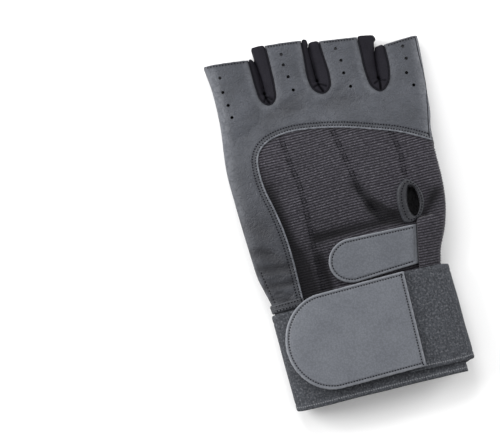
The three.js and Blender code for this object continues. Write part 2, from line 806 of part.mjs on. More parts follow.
// The thumb is a flat tube whose root opens up into the palm, and whose far half is knit
function thumbPiece(isKnit) {
  const wall = isKnit ? KNIT : LEATHER;
  const tube = thumbBody(0, 0).subtract(thumbBody(-wall, MOUTH_RUN));
  const [start, end] = THUMB_KNIT_SEAM.map(toVector2);
  const along = end.clone().sub(start).normalize();
  const away = new THREE.Vector2(-along.y, along.x).multiplyScalar(isKnit ? 1 : -1);
  const corner = (from, run, distance) => {
    const at = from.clone().addScaledVector(along, run).addScaledVector(away, distance);
    return [at.x, at.y];
  };
  const half = prism([
    corner(start, -REACH, GAP / 2),
    corner(end, REACH, GAP / 2),
    corner(end, REACH, REACH),
    corner(start, -REACH, REACH),
  ]);
  const piece = tube.intersect(half);
  return isKnit ? piece : piece.subtract(prism(thumbHole, THUMB_HOLE_FLOOR));
}

// A ribbon wound a little more than once round the cuff, climbing as it goes
function wristWrap() {
  const row = handRow(HAND_ROWS[0].y);
  const startAngle = Math.acos(WRAP_START);
  const endAngle = 2 * Math.PI + Math.acos(WRAP_END);
  const rings = [];
  for (let i = 0; i <= WRAP_STEPS; i += 1) {
    const turn = i / WRAP_STEPS;
    const angle = THREE.MathUtils.lerp(startAngle, endAngle, turn);
    const lift = (ELASTIC + GAP) * THREE.MathUtils.smoothstep(angle, WRAP_LIFT_FROM, WRAP_LIFT_TO);
    const high = WRAP_TOP + WRAP_RISE * turn;
    const heights = [high, high - WRAP_WIDTH / 2, high - WRAP_WIDTH];
    const share = Math.cos(angle);
    const above = Math.sin(angle) > 0;
    const at = (grow, floor) => (y) => {
      const reach = (row.top - row.waist + grow) * arch(share, above ? BACK_POWER : PALM_POWER);
      const z = row.waist + (above ? reach : -reach);
      return new THREE.Vector3(row.middle + (row.half + grow) * share, y, Math.max(floor, z));
    };
    const inner = heights.map(at(GAP + lift, PRESSED_ELASTIC));
    const outer = heights.map(at(GAP + lift + ELASTIC, 0)).reverse();
    rings.push([...inner, ...outer]);
  }
  return loft(rings, true);
}

function cuffHeight(grow) {
  return (x) => backHeight(x, HAND_ROWS[0].y, grow);
}

function wrapTab() {
  return cutSheet(tabShape(WRAP_TAB, 0), 20, 1, cuffHeight(TAB_LIFT), cuffHeight(TAB_LIFT + TAB));
}

// Hook strip under the tab, which grips the layer of elastic below it
function hookPad() {
  const low = cuffHeight(2 * GAP + ELASTIC);
  return cutSheet(tabShape(HOOK_PAD, 0), 14, 1, low, cuffHeight(TAB_LIFT - GAP));
}

// Turned hem over the end of the leather strip beside the wrap
function cuffHem() {
  const outer = handBody(GAP + HEM.wall, noRelief, LEATHER_STATIONS);
  const skin = outer.subtract(handBody(GAP, noRelief, LEATHER_STATIONS));
  const strip = [
    [-REACH, HEM.low],
    [HEM.right, HEM.low],
    [HEM.right, HEM.high],
    [-REACH, HEM.high],
  ];
  return skin.intersect(prism(strip, HEM.floor));
}

const group = new THREE.Group();
group.name = "weightlifting_glove";

const DYED_LEATHER = { color: 0x50545b, roughness: 0.62, metalness: 0 };
const TAB_LEATHER = { color: 0x62656d, roughness: 0.68, metalness: 0 };
const RIB_KNIT = { color: 0x3b3a42, roughness: 0.92, metalness: 0 };
const BLACK_STRETCH = { color: 0x26262b, roughness: 0.85, metalness: 0 };
const WOVEN_ELASTIC = { color: 0x303338, roughness: 0.9, metalness: 0 };
const HOOK_TAPE = { color: 0x1d1e21, roughness: 0.95, metalness: 0 };

function addPiece(name, body, look) {
  const mesh = body.getMesh();
  const positions = [];
  for (let i = 0; i < mesh.numVert; i += 1) {
    const start = i * mesh.numProp;
    positions.push(...mesh.vertProperties.subarray(start, start + 3));
  }
  const geometry = new THREE.BufferGeometry();
  geometry.setAttribute("position", new THREE.Float32BufferAttribute(positions, 3));
  geometry.setIndex(new THREE.BufferAttribute(mesh.triVerts, 1));
  geometry.computeVertexNormals();
  const piece = new THREE.Mesh(geometry, new THREE.MeshStandardMaterial(look));
  piece.name = name;
  group.add(piece);
}

addPiece("back_yoke", backYoke(), DYED_LEATHER);
addPiece("back_panel", backPanel(), RIB_KNIT);
addPiece("palm_shell", palmLeather(false), DYED_LEATHER);
addPiece("palm_fingers", palmLeather(true), DYED_LEATHER);
for (const each of GUSSETS) addPiece("gusset_" + each.name, gussetPiece(each), BLACK_STRETCH);
addPiece("thumb_leather", thumbPiece(false), DYED_LEATHER);
addPiece("thumb_knit", thumbPiece(true), RIB_KNIT);
addPiece("palm_patch", palmPatch(), DYED_LEATHER);
PALM_BARS.forEach((bar, i) => addPiece("palm_bar_" + (i + 1), palmBar(bar), DYED_LEATHER));
addPiece("slit_trim", slitTrim(), DYED_LEATHER);
addPiece("closure_strap", closureStrap(), TAB_LEATHER);
addPiece("cuff_hem", cuffHem(), DYED_LEATHER);
addPiece("wrist_wrap", wristWrap(), WOVEN_ELASTIC);
addPiece("hook_pad", hookPad(), HOOK_TAPE);
addPiece("wrap_tab", wrapTab(), TAB_LEATHER);

group.position.set(-FOOTPRINT_CENTRE.x, -FOOTPRINT_CENTRE.y, 0);

export default group;
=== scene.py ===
import math

import bmesh
import bpy
import numpy as np
from mathutils import Matrix, Vector, noise
from mathutils.bvhtree import BVHTree
from mathutils.kdtree import KDTree


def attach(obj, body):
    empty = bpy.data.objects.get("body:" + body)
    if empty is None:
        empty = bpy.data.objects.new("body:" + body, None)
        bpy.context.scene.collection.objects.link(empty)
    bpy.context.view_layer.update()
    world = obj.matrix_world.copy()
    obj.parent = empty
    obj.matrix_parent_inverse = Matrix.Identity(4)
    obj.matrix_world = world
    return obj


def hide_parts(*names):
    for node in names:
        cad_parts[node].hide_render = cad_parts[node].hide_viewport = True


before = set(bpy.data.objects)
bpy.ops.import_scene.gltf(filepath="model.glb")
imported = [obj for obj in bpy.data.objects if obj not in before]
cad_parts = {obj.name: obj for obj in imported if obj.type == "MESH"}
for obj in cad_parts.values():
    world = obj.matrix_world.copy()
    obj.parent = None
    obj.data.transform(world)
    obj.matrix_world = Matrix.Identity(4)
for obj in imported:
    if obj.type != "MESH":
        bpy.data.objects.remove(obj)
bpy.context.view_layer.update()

# The glove is seen from almost straight above, turned a little on a white studio table.
# A broad soft lamp over the fingers and an even white room light it without hard shadows.
CAMERA_AZIMUTH = math.radians(-15)
CAMERA_ELEVATION = math.radians(84)
LENS_MM = 200
SENSOR_MM = 36
VIEW_WIDTH = 0.255
VIEW_CENTRE = Vector((-0.0513, 0.009, 0.015))
FLOOR_DROP = 0.0002
TABLE_WHITE = (0.93, 0.93, 0.93, 1)

lens_side = Vector(
    (
        math.sin(CAMERA_AZIMUTH) * math.cos(CAMERA_ELEVATION),
        -math.cos(CAMERA_AZIMUTH) * math.cos(CAMERA_ELEVATION),
        math.sin(CAMERA_ELEVATION),
    )
)
camera = bpy.data.objects.new("camera", bpy.data.cameras.new("camera"))
camera.data.lens = LENS_MM
camera.data.sensor_width = SENSOR_MM
camera.location = VIEW_CENTRE + lens_side * VIEW_WIDTH * LENS_MM / SENSOR_MM
camera.rotation_mode = "QUATERNION"
camera.rotation_quaternion = (-lens_side).to_track_quat("-Z", "Y")
bpy.context.scene.collection.objects.link(camera)
bpy.context.scene.camera = camera
bpy.context.scene.view_settings.view_transform = "Standard"


def soft_lamp(name, place, aim, side, watts):
    lamp = bpy.data.objects.new(name, bpy.data.lights.new(name, "AREA"))
    lamp.data.size = side
    lamp.data.energy = watts
    lamp.location = place
    lamp.rotation_mode = "QUATERNION"
    lamp.rotation_quaternion = (Vector(aim) - Vector(place)).to_track_quat("-Z", "Y")
    bpy.context.scene.collection.objects.link(lamp)


soft_lamp("lamp_from_left", (-0.75, 0.3, 0.42), (0, 0, 0), 0.5, 8)
soft_lamp("lamp_from_right", (0.75, 0.15, 0.32), (0, 0, 0), 0.45, 4)
soft_lamp("lamp_over_fingers", (-0.05, 0.7, 0.6), (0, 0, 0), 0.5, 4)
room = bpy.data.worlds.new("white_room")
room.use_nodes = True
room.node_tree.nodes["Background"].inputs["Color"].default_value = (1, 1, 1, 1)
room.node_tree.nodes["Background"].inputs["Strength"].default_value = 0.66
bpy.context.scene.world = room

table = bmesh.new()
bmesh.ops.create_grid(table, x_segments=2, y_segments=2, size=3)
bmesh.ops.translate(table, verts=table.verts, vec=(0, 0, -FLOOR_DROP))
floor = bpy.data.objects.new("studio_table", bpy.data.meshes.new("studio_table"))
table.to_mesh(floor.data)
bpy.context.scene.collection.objects.link(floor)
table_white = bpy.data.materials.new("table_white")
table_white.use_nodes = True
table_white.node_tree.nodes["Principled BSDF"].inputs["Base Color"].default_value = TABLE_WHITE
table_white.node_tree.nodes["Principled BSDF"].inputs["Roughness"].default_value = 0.9
floor.data.materials.append(table_white)

# The dyed leather of back and palm: two soft hides sewn round hand and half fingers.
# The hand and its four fingers are lofted, dented over the folded thumb, joined into one skin
# and given a wall, then cut along the seams as the maker's patterns are. Millimetres on the pattern.
TO_FRAME = Matrix.Scale(0.001, 4) @ Matrix.Translation((-6.547, -11.3, 0))
LEATHER_WALL = 1.6
SEAM_GAP = 0.3
BACK_SQUARENESS = 3
PALM_SQUARENESS = 4
MOUTH_RUN = 3
SKIN_VOXEL = 0.62
LINING_VOXEL = 1.0
RING_POINTS = 300
HAND = {
    "y": (-52, -30, -24, -18, -10, -2, 6, 14, 22, 32, 42, 50, 58, 66, 74, 84),
    "left": (
        -45, -45, -45.6, -47, -48.8, -49.3, -49.6, -49.9,
        -50.1, -50.2, -50.3, -49.8, -48.8, -47.6, -46.8, -46.3,
    ),
    "right": (
        43.6, 43.6, 44.7, 46.6, 50.4, 53.2, 54.9, 55.8,
        56, 56.2, 56.9, 58.9, 59.9, 60.8, 61.9, 62.6,
    ),
    "bottom": (1.8, 1.8, 2.4, 3.6, 5.2, 6.6, 7.4, 7.6, 7.6, 7.4, 6.6, 5.4, 3.8, 2.2, 1, 0.2),
    "top": (
        15.5, 15.5, 15.9, 16.8, 18.6, 20.2, 21.4, 22.2,
        22.6, 22.5, 21.9, 20.8, 19.3, 17.6, 15.9, 14.4,
    ),
}
FINGERS = {
    "index": {
        "y": (56, 66, 74, 81, 92, 103.1),
        "slant": (0, 0, 0, 0, 0, -3.2),
        "left": (-46.6, -47.2, -46.8, -46.4, -46.4, -47.6),
        "right": (-21.6, -21.1, -21.1, -21.1, -21.2, -21.7),
        "bottom": (5.6, 2.2, 0.4, -0.4, -0.4, -0.4),
        "top": (16.6, 17, 16.2, 15.3, 14.3, 13.7),
    },
    "middle": {
        "y": (56, 66, 74, 82, 92, 105.8),
        "slant": (0, 0, 0, 0, 0, -3),
        "left": (-20.4, -20.3, -20.2, -20.1, -20.1, -20.7),
        "right": (6.6, 6.5, 6.4, 6.5, 6.7, 7),
        "bottom": (5.6, 1.9, 0.4, -0.4, -0.4, -0.4),
        "top": (18.4, 18, 17, 16, 15.1, 14.4),
    },
    "ring": {
        "y": (56, 66, 74, 82, 91, 101),
        "slant": (0, 0, 0, 0, 0, -5.1),
        "left": (7.4, 7.5, 7.6, 7.6, 7.7, 7.9),
        "right": (37, 36.8, 37, 37.6, 39.4, 41.2),
        "bottom": (5.6, 1.9, 0.4, -0.4, -0.4, -0.4),
        "top": (18.2, 17.8, 16.8, 15.8, 14.9, 14.2),
    },
    "little": {
        "y": (50, 61, 69, 76, 83, 89.7),
        "slant": (0, 0, 0, 0, 0, 1),
        "left": (38, 38.1, 38.4, 38.4, 39.2, 40.7),
        "right": (57, 60, 61.4, 62.2, 62.9, 63.4),
        "bottom": (6.8, 3.2, 1, -0.2, -0.4, -0.4),
        "top": (16.8, 16.6, 15.9, 14.8, 14, 13.4),
    },
}
THUMB = {
    "turn": (0, 1, 2, 3, 4, 5, 6, 7),
    "lx": (-41.6, -42, -41.2, -35.4, -28.6, -22.6, -18.4, -15.1),
    "ly": (9, 17, 26, 36, 43.4, 50.4, 56.8, 62.5),
    "rx": (-28, -22, -16.5, -8.5, -1.2, 5.2, 10.6, 15.2),
    "ry": (-14.5, -13, -6.5, 3.5, 13, 23, 33, 43),
    "bottom": (3.2, 0.8, -0.3, -0.5, -0.5, -0.5, -0.5, -0.5),
    "top": (8, 8.7, 9, 9.1, 9.1, 8.9, 8.8, 8.8),
}
THUMB_SQUARENESS = 3
WEB_LINE = [(-70, 80.5), (-21, 80.5), (7, 80), (22, 77), (37.5, 73), (70, 68)]
SEAM_HEIGHTS = {"y": (-60, -20, 20, 50, 75, 120), "z": (8.4, 10.6, 15.2, 13.4, 8.8, 7.2)}
KNIT_EDGE = [
    (64, 30.5), (55.3, 35.3), (40.4, 43.2), (26, 48.7), (11.5, 53.5), (-3.5, 56.8), (-13.8, 57.9),
    (-23.6, 56.7), (-29.7, 53.6), (-33, 49.1), (-34.2, 42), (-33.8, 32), (-31.6, 20.4),
    (-29.8, 7.5), (-29.2, -6.5), (-29.4, -22), (-29.4, -54),
]
KNIT_UNDER = [
    (56.4, 34), (52.6, 22), (49.8, 8), (48.6, -6), (45.6, -18), (42.4, -26), (41.6, -54),
]
NOTCHES = {
    "index_middle": [
        (-25.2, 112), (-24.3, 97), (-24.2, 84), (-23.2, 77.4), (-19.9, 74.6), (-16.4, 76.8),
        (-15.2, 82.5), (-14.6, 92), (-14.2, 112),
    ],
    "middle_ring": [
        (5.1, 112), (3.9, 95), (2.9, 82), (4.4, 76), (8.6, 73.3), (12.3, 75.6), (13.6, 82),
        (13.2, 95), (13.6, 112),
    ],
    "ring_little": [
        (32.4, 112), (32.7, 92), (32.2, 78), (33.4, 70), (37.2, 66.6), (41.8, 69.8), (44.3, 77),
        (45.1, 90), (46.2, 112),
    ],
}
VENTS = [
    (-40.8, 94.7), (-41.3, 87), (-40.4, 79.7), (-40.2, 73),
    (-7.3, 98.2), (-7.7, 92.6), (-6.9, 86), (-6.2, 78.6),
    (20.4, 94), (21.5, 87.3), (21.1, 80.5), (22.6, 72.8),
    (54.2, 86.4), (54.2, 79.8), (52.3, 72.4), (54.1, 65.2),
]
VENT_RADIUS = 0.85
THUMB_HOLE = [
    (-36.6, 24), (-37, 10), (-31, -4.5), (-23, -6.5), (-14, 2), (-12.6, 13), (-21.5, 27), (-30.5, 31),
]
PALM_SEAM = [
    (-90, 61.5), (-46.5, 60.2), (-19.5, 58.8), (-2, 56.1), (18.8, 53.6), (37.5, 51.3), (53.5, 48.8),
    (90, 43),
]
LEATHER_DENTS = [
    {"ends": ((-50, 3), (-40, -1)), "reach": 2.6, "depth": 1.2},
    {"ends": ((-50, -7), (-33, -9)), "reach": 2.6, "depth": 1.5},
    {"ends": ((-48, -16), (-33, -17)), "reach": 2, "depth": 1.2},
    {"ends": ((-47, -22), (-36, -25)), "reach": 1.8, "depth": 0.9},
    {"ends": ((-47.4, -1), (-44.4, -24)), "reach": 0.6, "depth": 0.6},
    {"ends": ((-52, 19), (-40, 12)), "reach": 4.5, "depth": 0.8},
    {"ends": ((-43, 2), (-36, -4)), "reach": 2.4, "depth": 0.6},
    {"ends": ((-20, 68), (-6, 70)), "reach": 4.2, "depth": 0.8},
    {"ends": ((-14, 72), (-2, 76)), "reach": 1.6, "depth": 0.35},
    {"ends": ((8, 66), (22, 66)), "reach": 4.6, "depth": 0.7},
    {"ends": ((14, 71), (24, 76)), "reach": 1.6, "depth": 0.3},
    {"ends": ((-17, 71), (-9, 69)), "reach": 0.8, "depth": 0.35},
    {"ends": ((-13, 68), (-3, 68)), "reach": 0.8, "depth": 0.3},
    {"ends": ((-38, 70), (-29, 71)), "reach": 0.9, "depth": 0.3},
    {"ends": ((12, 69), (19, 67)), "reach": 0.9, "depth": 0.3},
    {"ends": ((-47, 4), (-41, 0)), "reach": 1, "depth": 0.4},
    {"ends": ((-45, -13), (-37, -13)), "reach": 0.9, "depth": 0.45},
    {"ends": ((-44, -19), (-34, -23)), "reach": 0.9, "depth": 0.5},
    {"ends": ((-43, -21), (-38, -20)), "reach": 0.9, "depth": 0.4},
    {"ends": ((-37, -8), (-32, -12)), "reach": 1, "depth": 0.4},
]
PALM_DENTS = [
    {"ends": ((-46, 68), (-30, 70)), "reach": 1.6, "depth": 0.8},
    {"ends": ((-18, 66), (-4, 70)), "reach": 1.5, "depth": 0.8},
    {"ends": ((-17, 70), (-9, 66)), "reach": 0.9, "depth": 0.5},
    {"ends": ((12, 70), (24, 62)), "reach": 1.1, "depth": 0.6},
    {"ends": ((-46, 12), (-38, 17)), "reach": 1, "depth": 0.6},
    {"ends": ((-20, -27), (4, -22)), "reach": 1, "depth": 0.5},
    {"ends": ((6, -24), (28, -27)), "reach": 1.1, "depth": 0.5},
    {"ends": ((0, 66), (20, 64)), "reach": 2.2, "depth": 0.6},
    {"ends": ((24, 60), (44, 62)), "reach": 2.2, "depth": 0.6},
    {"ends": ((-48, 22), (-42, 30)), "reach": 2, "depth": 0.7},
    {"ends": ((-49, 2), (-40, 8)), "reach": 1.8, "depth": 0.7},
    {"ends": ((-47, -8), (-40, -20)), "reach": 2.2, "depth": 0.9},
    {"ends": ((-30, -22), (-8, -26)), "reach": 2, "depth": 0.7},
    {"ends": ((0, -12), (22, -18)), "reach": 1.6, "depth": 0.5},
    {"ends": ((14, -8), (38, -14)), "reach": 1.5, "depth": 0.5},
    {"ends": ((24, -20), (42, -22)), "reach": 1.8, "depth": 0.6},
]


def rounded_curve(keys, values, samples=1500):
    """A table's column read at even places, with smooth slopes through the rows."""
    last = len(keys) - 1
    slopes = []
    for j in range(last + 1):
        low, high = max(j - 1, 0), min(j + 1, last)
        slopes.append((values[high] - values[low]) / (keys[high] - keys[low]))
    curve = []
    i = 0
    for k in range(samples + 1):
        place = keys[0] + (keys[last] - keys[0]) * k / samples
        while i < last - 1 and place > keys[i + 1]:
            i += 1
        span = keys[i + 1] - keys[i]
        t = (place - keys[i]) / span
        curve.append(
            (2 * t**3 - 3 * t**2 + 1) * values[i]
            + (t**3 - 2 * t**2 + t) * span * slopes[i]
            + (3 * t**2 - 2 * t**3) * values[i + 1]
            + (t**3 - t**2) * span * slopes[i + 1]
        )
    return curve


curves_read = {}


def read_table(rows, key, place, column):
    """One column of a table at a place along it."""
    keys, values = rows[key], rows[column]
    if (keys, values) not in curves_read:
        curves_read[keys, values] = rounded_curve(keys, values)
    curve = curves_read[keys, values]
    at = (place - keys[0]) / (keys[-1] - keys[0]) * (len(curve) - 1)
    at = min(max(at, 0), len(curve) - 1.001)
    i = int(at)
    return curve[i] + (curve[i + 1] - curve[i]) * (at - i)


hand_rows_read = {}


def hand_row(y):
    """Middle, half width, waist height, palm height and back height of the hand at y."""
    y = round(y, 2)
    if y not in hand_rows_read:
        left = read_table(HAND, "y", y, "left")
        right = read_table(HAND, "y", y, "right")
        bottom = read_table(HAND, "y", y, "bottom")
        top = read_table(HAND, "y", y, "top")
        hand_rows_read[y] = (
            (left + right) / 2, (right - left) / 2, (bottom + top) / 2, bottom, top,
        )
    return hand_rows_read[y]


def arch(share, squareness):
    return (1 - min(1, abs(share)) ** squareness) ** (1 / squareness)


def back_height(x, y, grow=0.0):
    middle, half, waist, _, top = hand_row(y)
    return waist + (top - waist + grow) * arch((x - middle) / (half + grow), BACK_SQUARENESS)


def palm_height(x, y, grow=0.0):
    middle, half, waist, bottom, _ = hand_row(y)
    return waist - (waist - bottom + grow) * arch((x - middle) / (half + grow), PALM_SQUARENESS)


def dent_depth(dents, x, y):
    """Depth of rounded valleys that die away at their ends."""
    depth = 0
    for dent in dents:
        (x0, y0), (x1, y1) = dent["ends"]
        run_x, run_y = x1 - x0, y1 - y0
        t = ((x - x0) * run_x + (y - y0) * run_y) / (run_x**2 + run_y**2)
        t = min(1, max(0, t))
        away = math.hypot(x - x0 - t * run_x, y - y0 - t * run_y) / dent["reach"]
        if away < 3:
            depth += dent["depth"] * math.exp(-away * away)
    return depth


def even_points(points, count, closed=False):
    """The same line, with its points at equal steps along it."""
    line = np.array(points + points[:1] if closed else points, float)
    steps = np.linalg.norm(np.diff(line, axis=0), axis=1)
    along = np.concatenate(([0], np.cumsum(steps)))
    wanted = np.linspace(0, along[-1], count + 1 if closed else count)
    made = np.stack([np.interp(wanted, along, line[:, k]) for k in range(line.shape[1])], axis=1)
    return [tuple(p) for p in (made[:-1] if closed else made)]


def smooth_line(points, per_span=12, closed=False):
    """A rounded line through plan points."""
    corners = [Vector(p) for p in points]
    count = len(corners)
    made = []
    for i in range(count if closed else count - 1):
        a, b = corners[i], corners[(i + 1) % count]
        before = corners[(i - 1) % count] if closed or i else a * 2 - b
        after = corners[(i + 2) % count] if closed or i + 2 < count else b * 2 - a
        d0 = max((a - before).length ** 0.5, 1e-6)
        d1 = max((b - a).length ** 0.5, 1e-6)
        d2 = max((after - b).length ** 0.5, 1e-6)
        leave = ((a - before) / d0 - (b - before) / (d0 + d1) + (b - a) / d1) * d1
        arrive = ((b - a) / d1 - (after - a) / (d1 + d2) + (after - b) / d2) * d1
        for k in range(per_span):
            t = k / per_span
            made.append(
                tuple(
                    a * (2 * t**3 - 3 * t**2 + 1)
                    + leave * (t**3 - 2 * t**2 + t)
                    + b * (3 * t**2 - 2 * t**3)
                    + arrive * (t**3 - t**2)
                )
            )
    if not closed:
        made.append(tuple(corners[-1]))
    return made


def arch_ring(middle, half, waist, bottom, top, y_at, count=RING_POINTS):
    """A closed section with squared back and palm; y_at gives the place along the glove."""
    ring = []
    swings = [math.pi * k / 90 - math.pi / 2 for k in range(90)]
    for swing in swings:
        share = math.sin(swing)
        z = waist + (top - waist) * arch(share, BACK_SQUARENESS)
        ring.append((middle + half * share, y_at(share), max(0, z)))
    for swing in swings:
        share = -math.sin(swing)
        z = waist - (waist - bottom) * arch(share, PALM_SQUARENESS)
        ring.append((middle + half * share, y_at(share), max(0, z)))
    return even_points(ring, count, closed=True)


def keep_piece(name, shape):
    """A named object from a bmesh."""
    piece = bpy.data.objects.new(name, bpy.data.meshes.new(name))
    shape.to_mesh(piece.data)
    shape.free()
    bpy.context.scene.collection.objects.link(piece)
    return piece


def lofted(name, rings):
    """A closed body through like rings: a grid rolled up, with its two ends filled."""
    around = len(rings[0])
    shape = bmesh.new()
    bmesh.ops.create_grid(shape, x_segments=around, y_segments=len(rings) - 1, size=0.5)
    for vertex in shape.verts:
        i = round((vertex.co.x + 0.5) * around) % around
        j = round((vertex.co.y + 0.5) * (len(rings) - 1))
        vertex.co = rings[j][i]
    bmesh.ops.remove_doubles(shape, verts=shape.verts, dist=1e-4)
    bmesh.ops.holes_fill(shape, edges=[e for e in shape.edges if e.is_boundary], sides=0)
    bmesh.ops.recalc_face_normals(shape, faces=shape.faces)
    return keep_piece(name, shape)


def pattern_block(name, outline, low=-20.0, high=60.0):
    """A straight sided block over a plan outline, to cut with."""
    shape = bmesh.new()
    face = shape.faces.new([shape.verts.new((x, y, low)) for x, y in outline])
    raised = bmesh.ops.extrude_face_region(shape, geom=[face])["geom"]
    tops = [v for v in raised if isinstance(v, bmesh.types.BMVert)]
    bmesh.ops.translate(shape, verts=tops, vec=(0, 0, high - low))
    bmesh.ops.recalc_face_normals(shape, faces=shape.faces)
    return keep_piece(name, shape)


def settle(piece):
    """The piece's mesh as its modifiers leave it."""
    graph = bpy.context.evaluated_depsgraph_get()
    made = bpy.data.meshes.new_from_object(piece.evaluated_get(graph))
    piece.modifiers.clear()
    piece.data = made


def cut(piece, tool, operation="DIFFERENCE", keep_tool=False):
    knife = piece.modifiers.new("cut", "BOOLEAN")
    knife.solver = "MANIFOLD"
    knife.operation = operation
    knife.object = tool
    settle(piece)
    if not keep_tool:
        bpy.data.objects.remove(tool)


def copy_of(piece, name):
    twin = bpy.data.objects.new(name, piece.data.copy())
    bpy.context.scene.collection.objects.link(twin)
    return twin


def softened(piece, voxel, rounds):
    skin = piece.modifiers.new("skin", "REMESH")
    skin.mode = "VOXEL"
    skin.voxel_size = voxel
    ease = piece.modifiers.new("ease", "SMOOTH")
    ease.factor = 0.5
    ease.iterations = rounds
    settle(piece)


def reshaped(piece, move):
    """Every point of the piece goes where move puts it."""
    mesh = piece.data
    points = np.empty(len(mesh.vertices) * 3)
    mesh.vertices.foreach_get("co", points)
    moved = [move(*p) for p in points.reshape(-1, 3).tolist()]
    mesh.vertices.foreach_set("co", np.array(moved).ravel())
    mesh.update()


def marked(piece, name, value_at):
    """A value at each point of the piece, for its material to read."""
    mesh = piece.data
    layer = mesh.attributes.new(name, "FLOAT", "POINT")
    points = np.empty(len(mesh.vertices) * 3)
    mesh.vertices.foreach_get("co", points)
    values = [value_at(*p) for p in points.reshape(-1, 3).tolist()]
    layer.data.foreach_set("value", np.array(values, np.float32))


def hand_body(name, grow, cuff_run):
    rings = []
    for step in range(137):
        y = -52 + step
        middle, half, waist, bottom, top = hand_row(y)
        at = y - cuff_run if step == 0 else y
        rings.append(
            arch_ring(middle, half + grow, waist, bottom - grow, top + grow, lambda share: at)
        )
    body = lofted(name, rings)
    web = [(x, y + grow) for x, y in WEB_LINE]
    cut(body, pattern_block("web_line", [(-70, -60), *web, (70, -60)]), "INTERSECT")
    return body


def finger_body(name, rows, grow, run):
    rings = []
    first, last = rows["y"][0], rows["y"][-1]
    steps = round(last - first)
    for step in range(steps + 1):
        y = first + (last - first) * step / steps
        read = {c: read_table(rows, "y", y, c) for c in ("left", "right", "bottom", "top", "slant")}
        middle = (read["left"] + read["right"]) / 2
        half = (read["right"] - read["left"]) / 2 + grow
        waist = (read["bottom"] + read["top"]) / 2
        reach = read["top"] - waist + grow
        ahead = y + (run if step == steps else 0)
        rings.append(
            arch_ring(
                middle, half, waist, waist - reach, waist + reach,
                lambda share: ahead + read["slant"] * (1 + share) / 2, 180,
            )
        )
    return lofted(name, rings)


def thumb_point(turn, share, side, grow):
    """A point of the folded thumb; turn runs from its root, 0, to its mouth, 7."""
    read = {c: read_table(THUMB, "turn", turn, c) for c in ("lx", "ly", "rx", "ry", "bottom", "top")}
    right = Vector((read["rx"], read["ry"]))
    left = Vector((read["lx"], read["ly"]))
    middle = (left + right) / 2
    half = (right - left).length / 2
    across = (right - left).normalized()
    waist = (read["bottom"] + read["top"]) / 2
    reach = read["top"] - waist + grow
    at = middle + across * (half + grow) * share
    z = waist + side * reach * arch(share, THUMB_SQUARENESS)
    return at.x, at.y, z, Vector((-across.y, across.x))


def thumb_body(name, grow, run):
    rings = []
    for step in range(71):
        turn = step / 10
        ring = []
        for k in range(60):
            share = -math.cos(math.pi * k / 60)
            ring.append((share, 1))
        for k in range(60):
            share = math.cos(math.pi * k / 60)
            ring.append((share, -1))
        points = []
        for share, side in ring:
            x, y, z, ahead = thumb_point(turn, share, side, grow)
            push = -grow if step == 0 else run if step == 70 else 0
            points.append((x + ahead.x * push, y + ahead.y * push, max(0, z)))
        rings.append(even_points(points, 120, closed=True))
    return lofted(name, rings)


def glove_body(name, grow, cuff_run, mouth_run, thumb_room, fingers=FINGERS):
    body = hand_body(name, grow, cuff_run)
    for finger, rows in fingers.items():
        cut(body, finger_body(finger, rows, grow, mouth_run), "UNION")
    cut(body, thumb_body("thumb_room", thumb_room, thumb_room))
    return body


def seam_height(y):
    return read_table(SEAM_HEIGHTS, "y", y, "z")


def hide_give(x, y, z):
    """The soft unevenness and the dents of the leather, the same on both of its faces."""
    middle, half, _, _, _ = hand_row(min(y, 84))
    side = arch((x - middle) / half, 2)
    soft = noise.noise(Vector((x, y, z)) * 0.055) * 0.55 + noise.noise(Vector((x, y, z)) * 0.16) * 0.18
    if z > seam_height(y):
        return x, y, z - (dent_depth(LEATHER_DENTS, x, y) - soft * 0.7) * side
    lift = (dent_depth(PALM_DENTS, x, y) + soft * 0.5) * side
    return x, y, z + lift if z > 0.8 else z


knit_line = smooth_line(KNIT_EDGE)
knit_corner = (90, -54)
knit_block = pattern_block("knit_block", [*knit_line, knit_corner])
knit_under_line = smooth_line(KNIT_UNDER)
knit_under_block = pattern_block("knit_under_block", [*knit_under_line, (90, -54), (90, 34)])
seam_line = [(y, seam_height(y)) for y in range(-60, 121, 4)]


def half_block(name, above):
    """All that lies above, or below, the side seam."""
    end = 60 if above else -20
    lift = SEAM_GAP / 2 if above else -SEAM_GAP / 2
    outline = [(y, z + lift) for y, z in seam_line] + [(120, end), (-60, end)]
    block = pattern_block(name, outline, -90, 90)
    block.data.transform(Matrix(((0, 0, 1, 0), (1, 0, 0, 0), (0, 1, 0, 0), (0, 0, 0, 1))))
    return block


upper_block = half_block("upper_block", True)
lower_block = half_block("lower_block", False)
notch_lines = {name: smooth_line(line) for name, line in NOTCHES.items()}
skin = glove_body("skin", 0, 0, 0, SEAM_GAP)
softened(skin, SKIN_VOXEL, 4)
reshaped(skin, hide_give)
lining = glove_body("lining", -LEATHER_WALL, MOUTH_RUN, MOUTH_RUN, SEAM_GAP + LEATHER_WALL)
softened(lining, LINING_VOXEL, 2)
reshaped(lining, hide_give)


def tree_of(piece):
    shape = bmesh.new()
    shape.from_mesh(piece.data)
    made = BVHTree.FromBMesh(shape)
    shape.free()
    return made


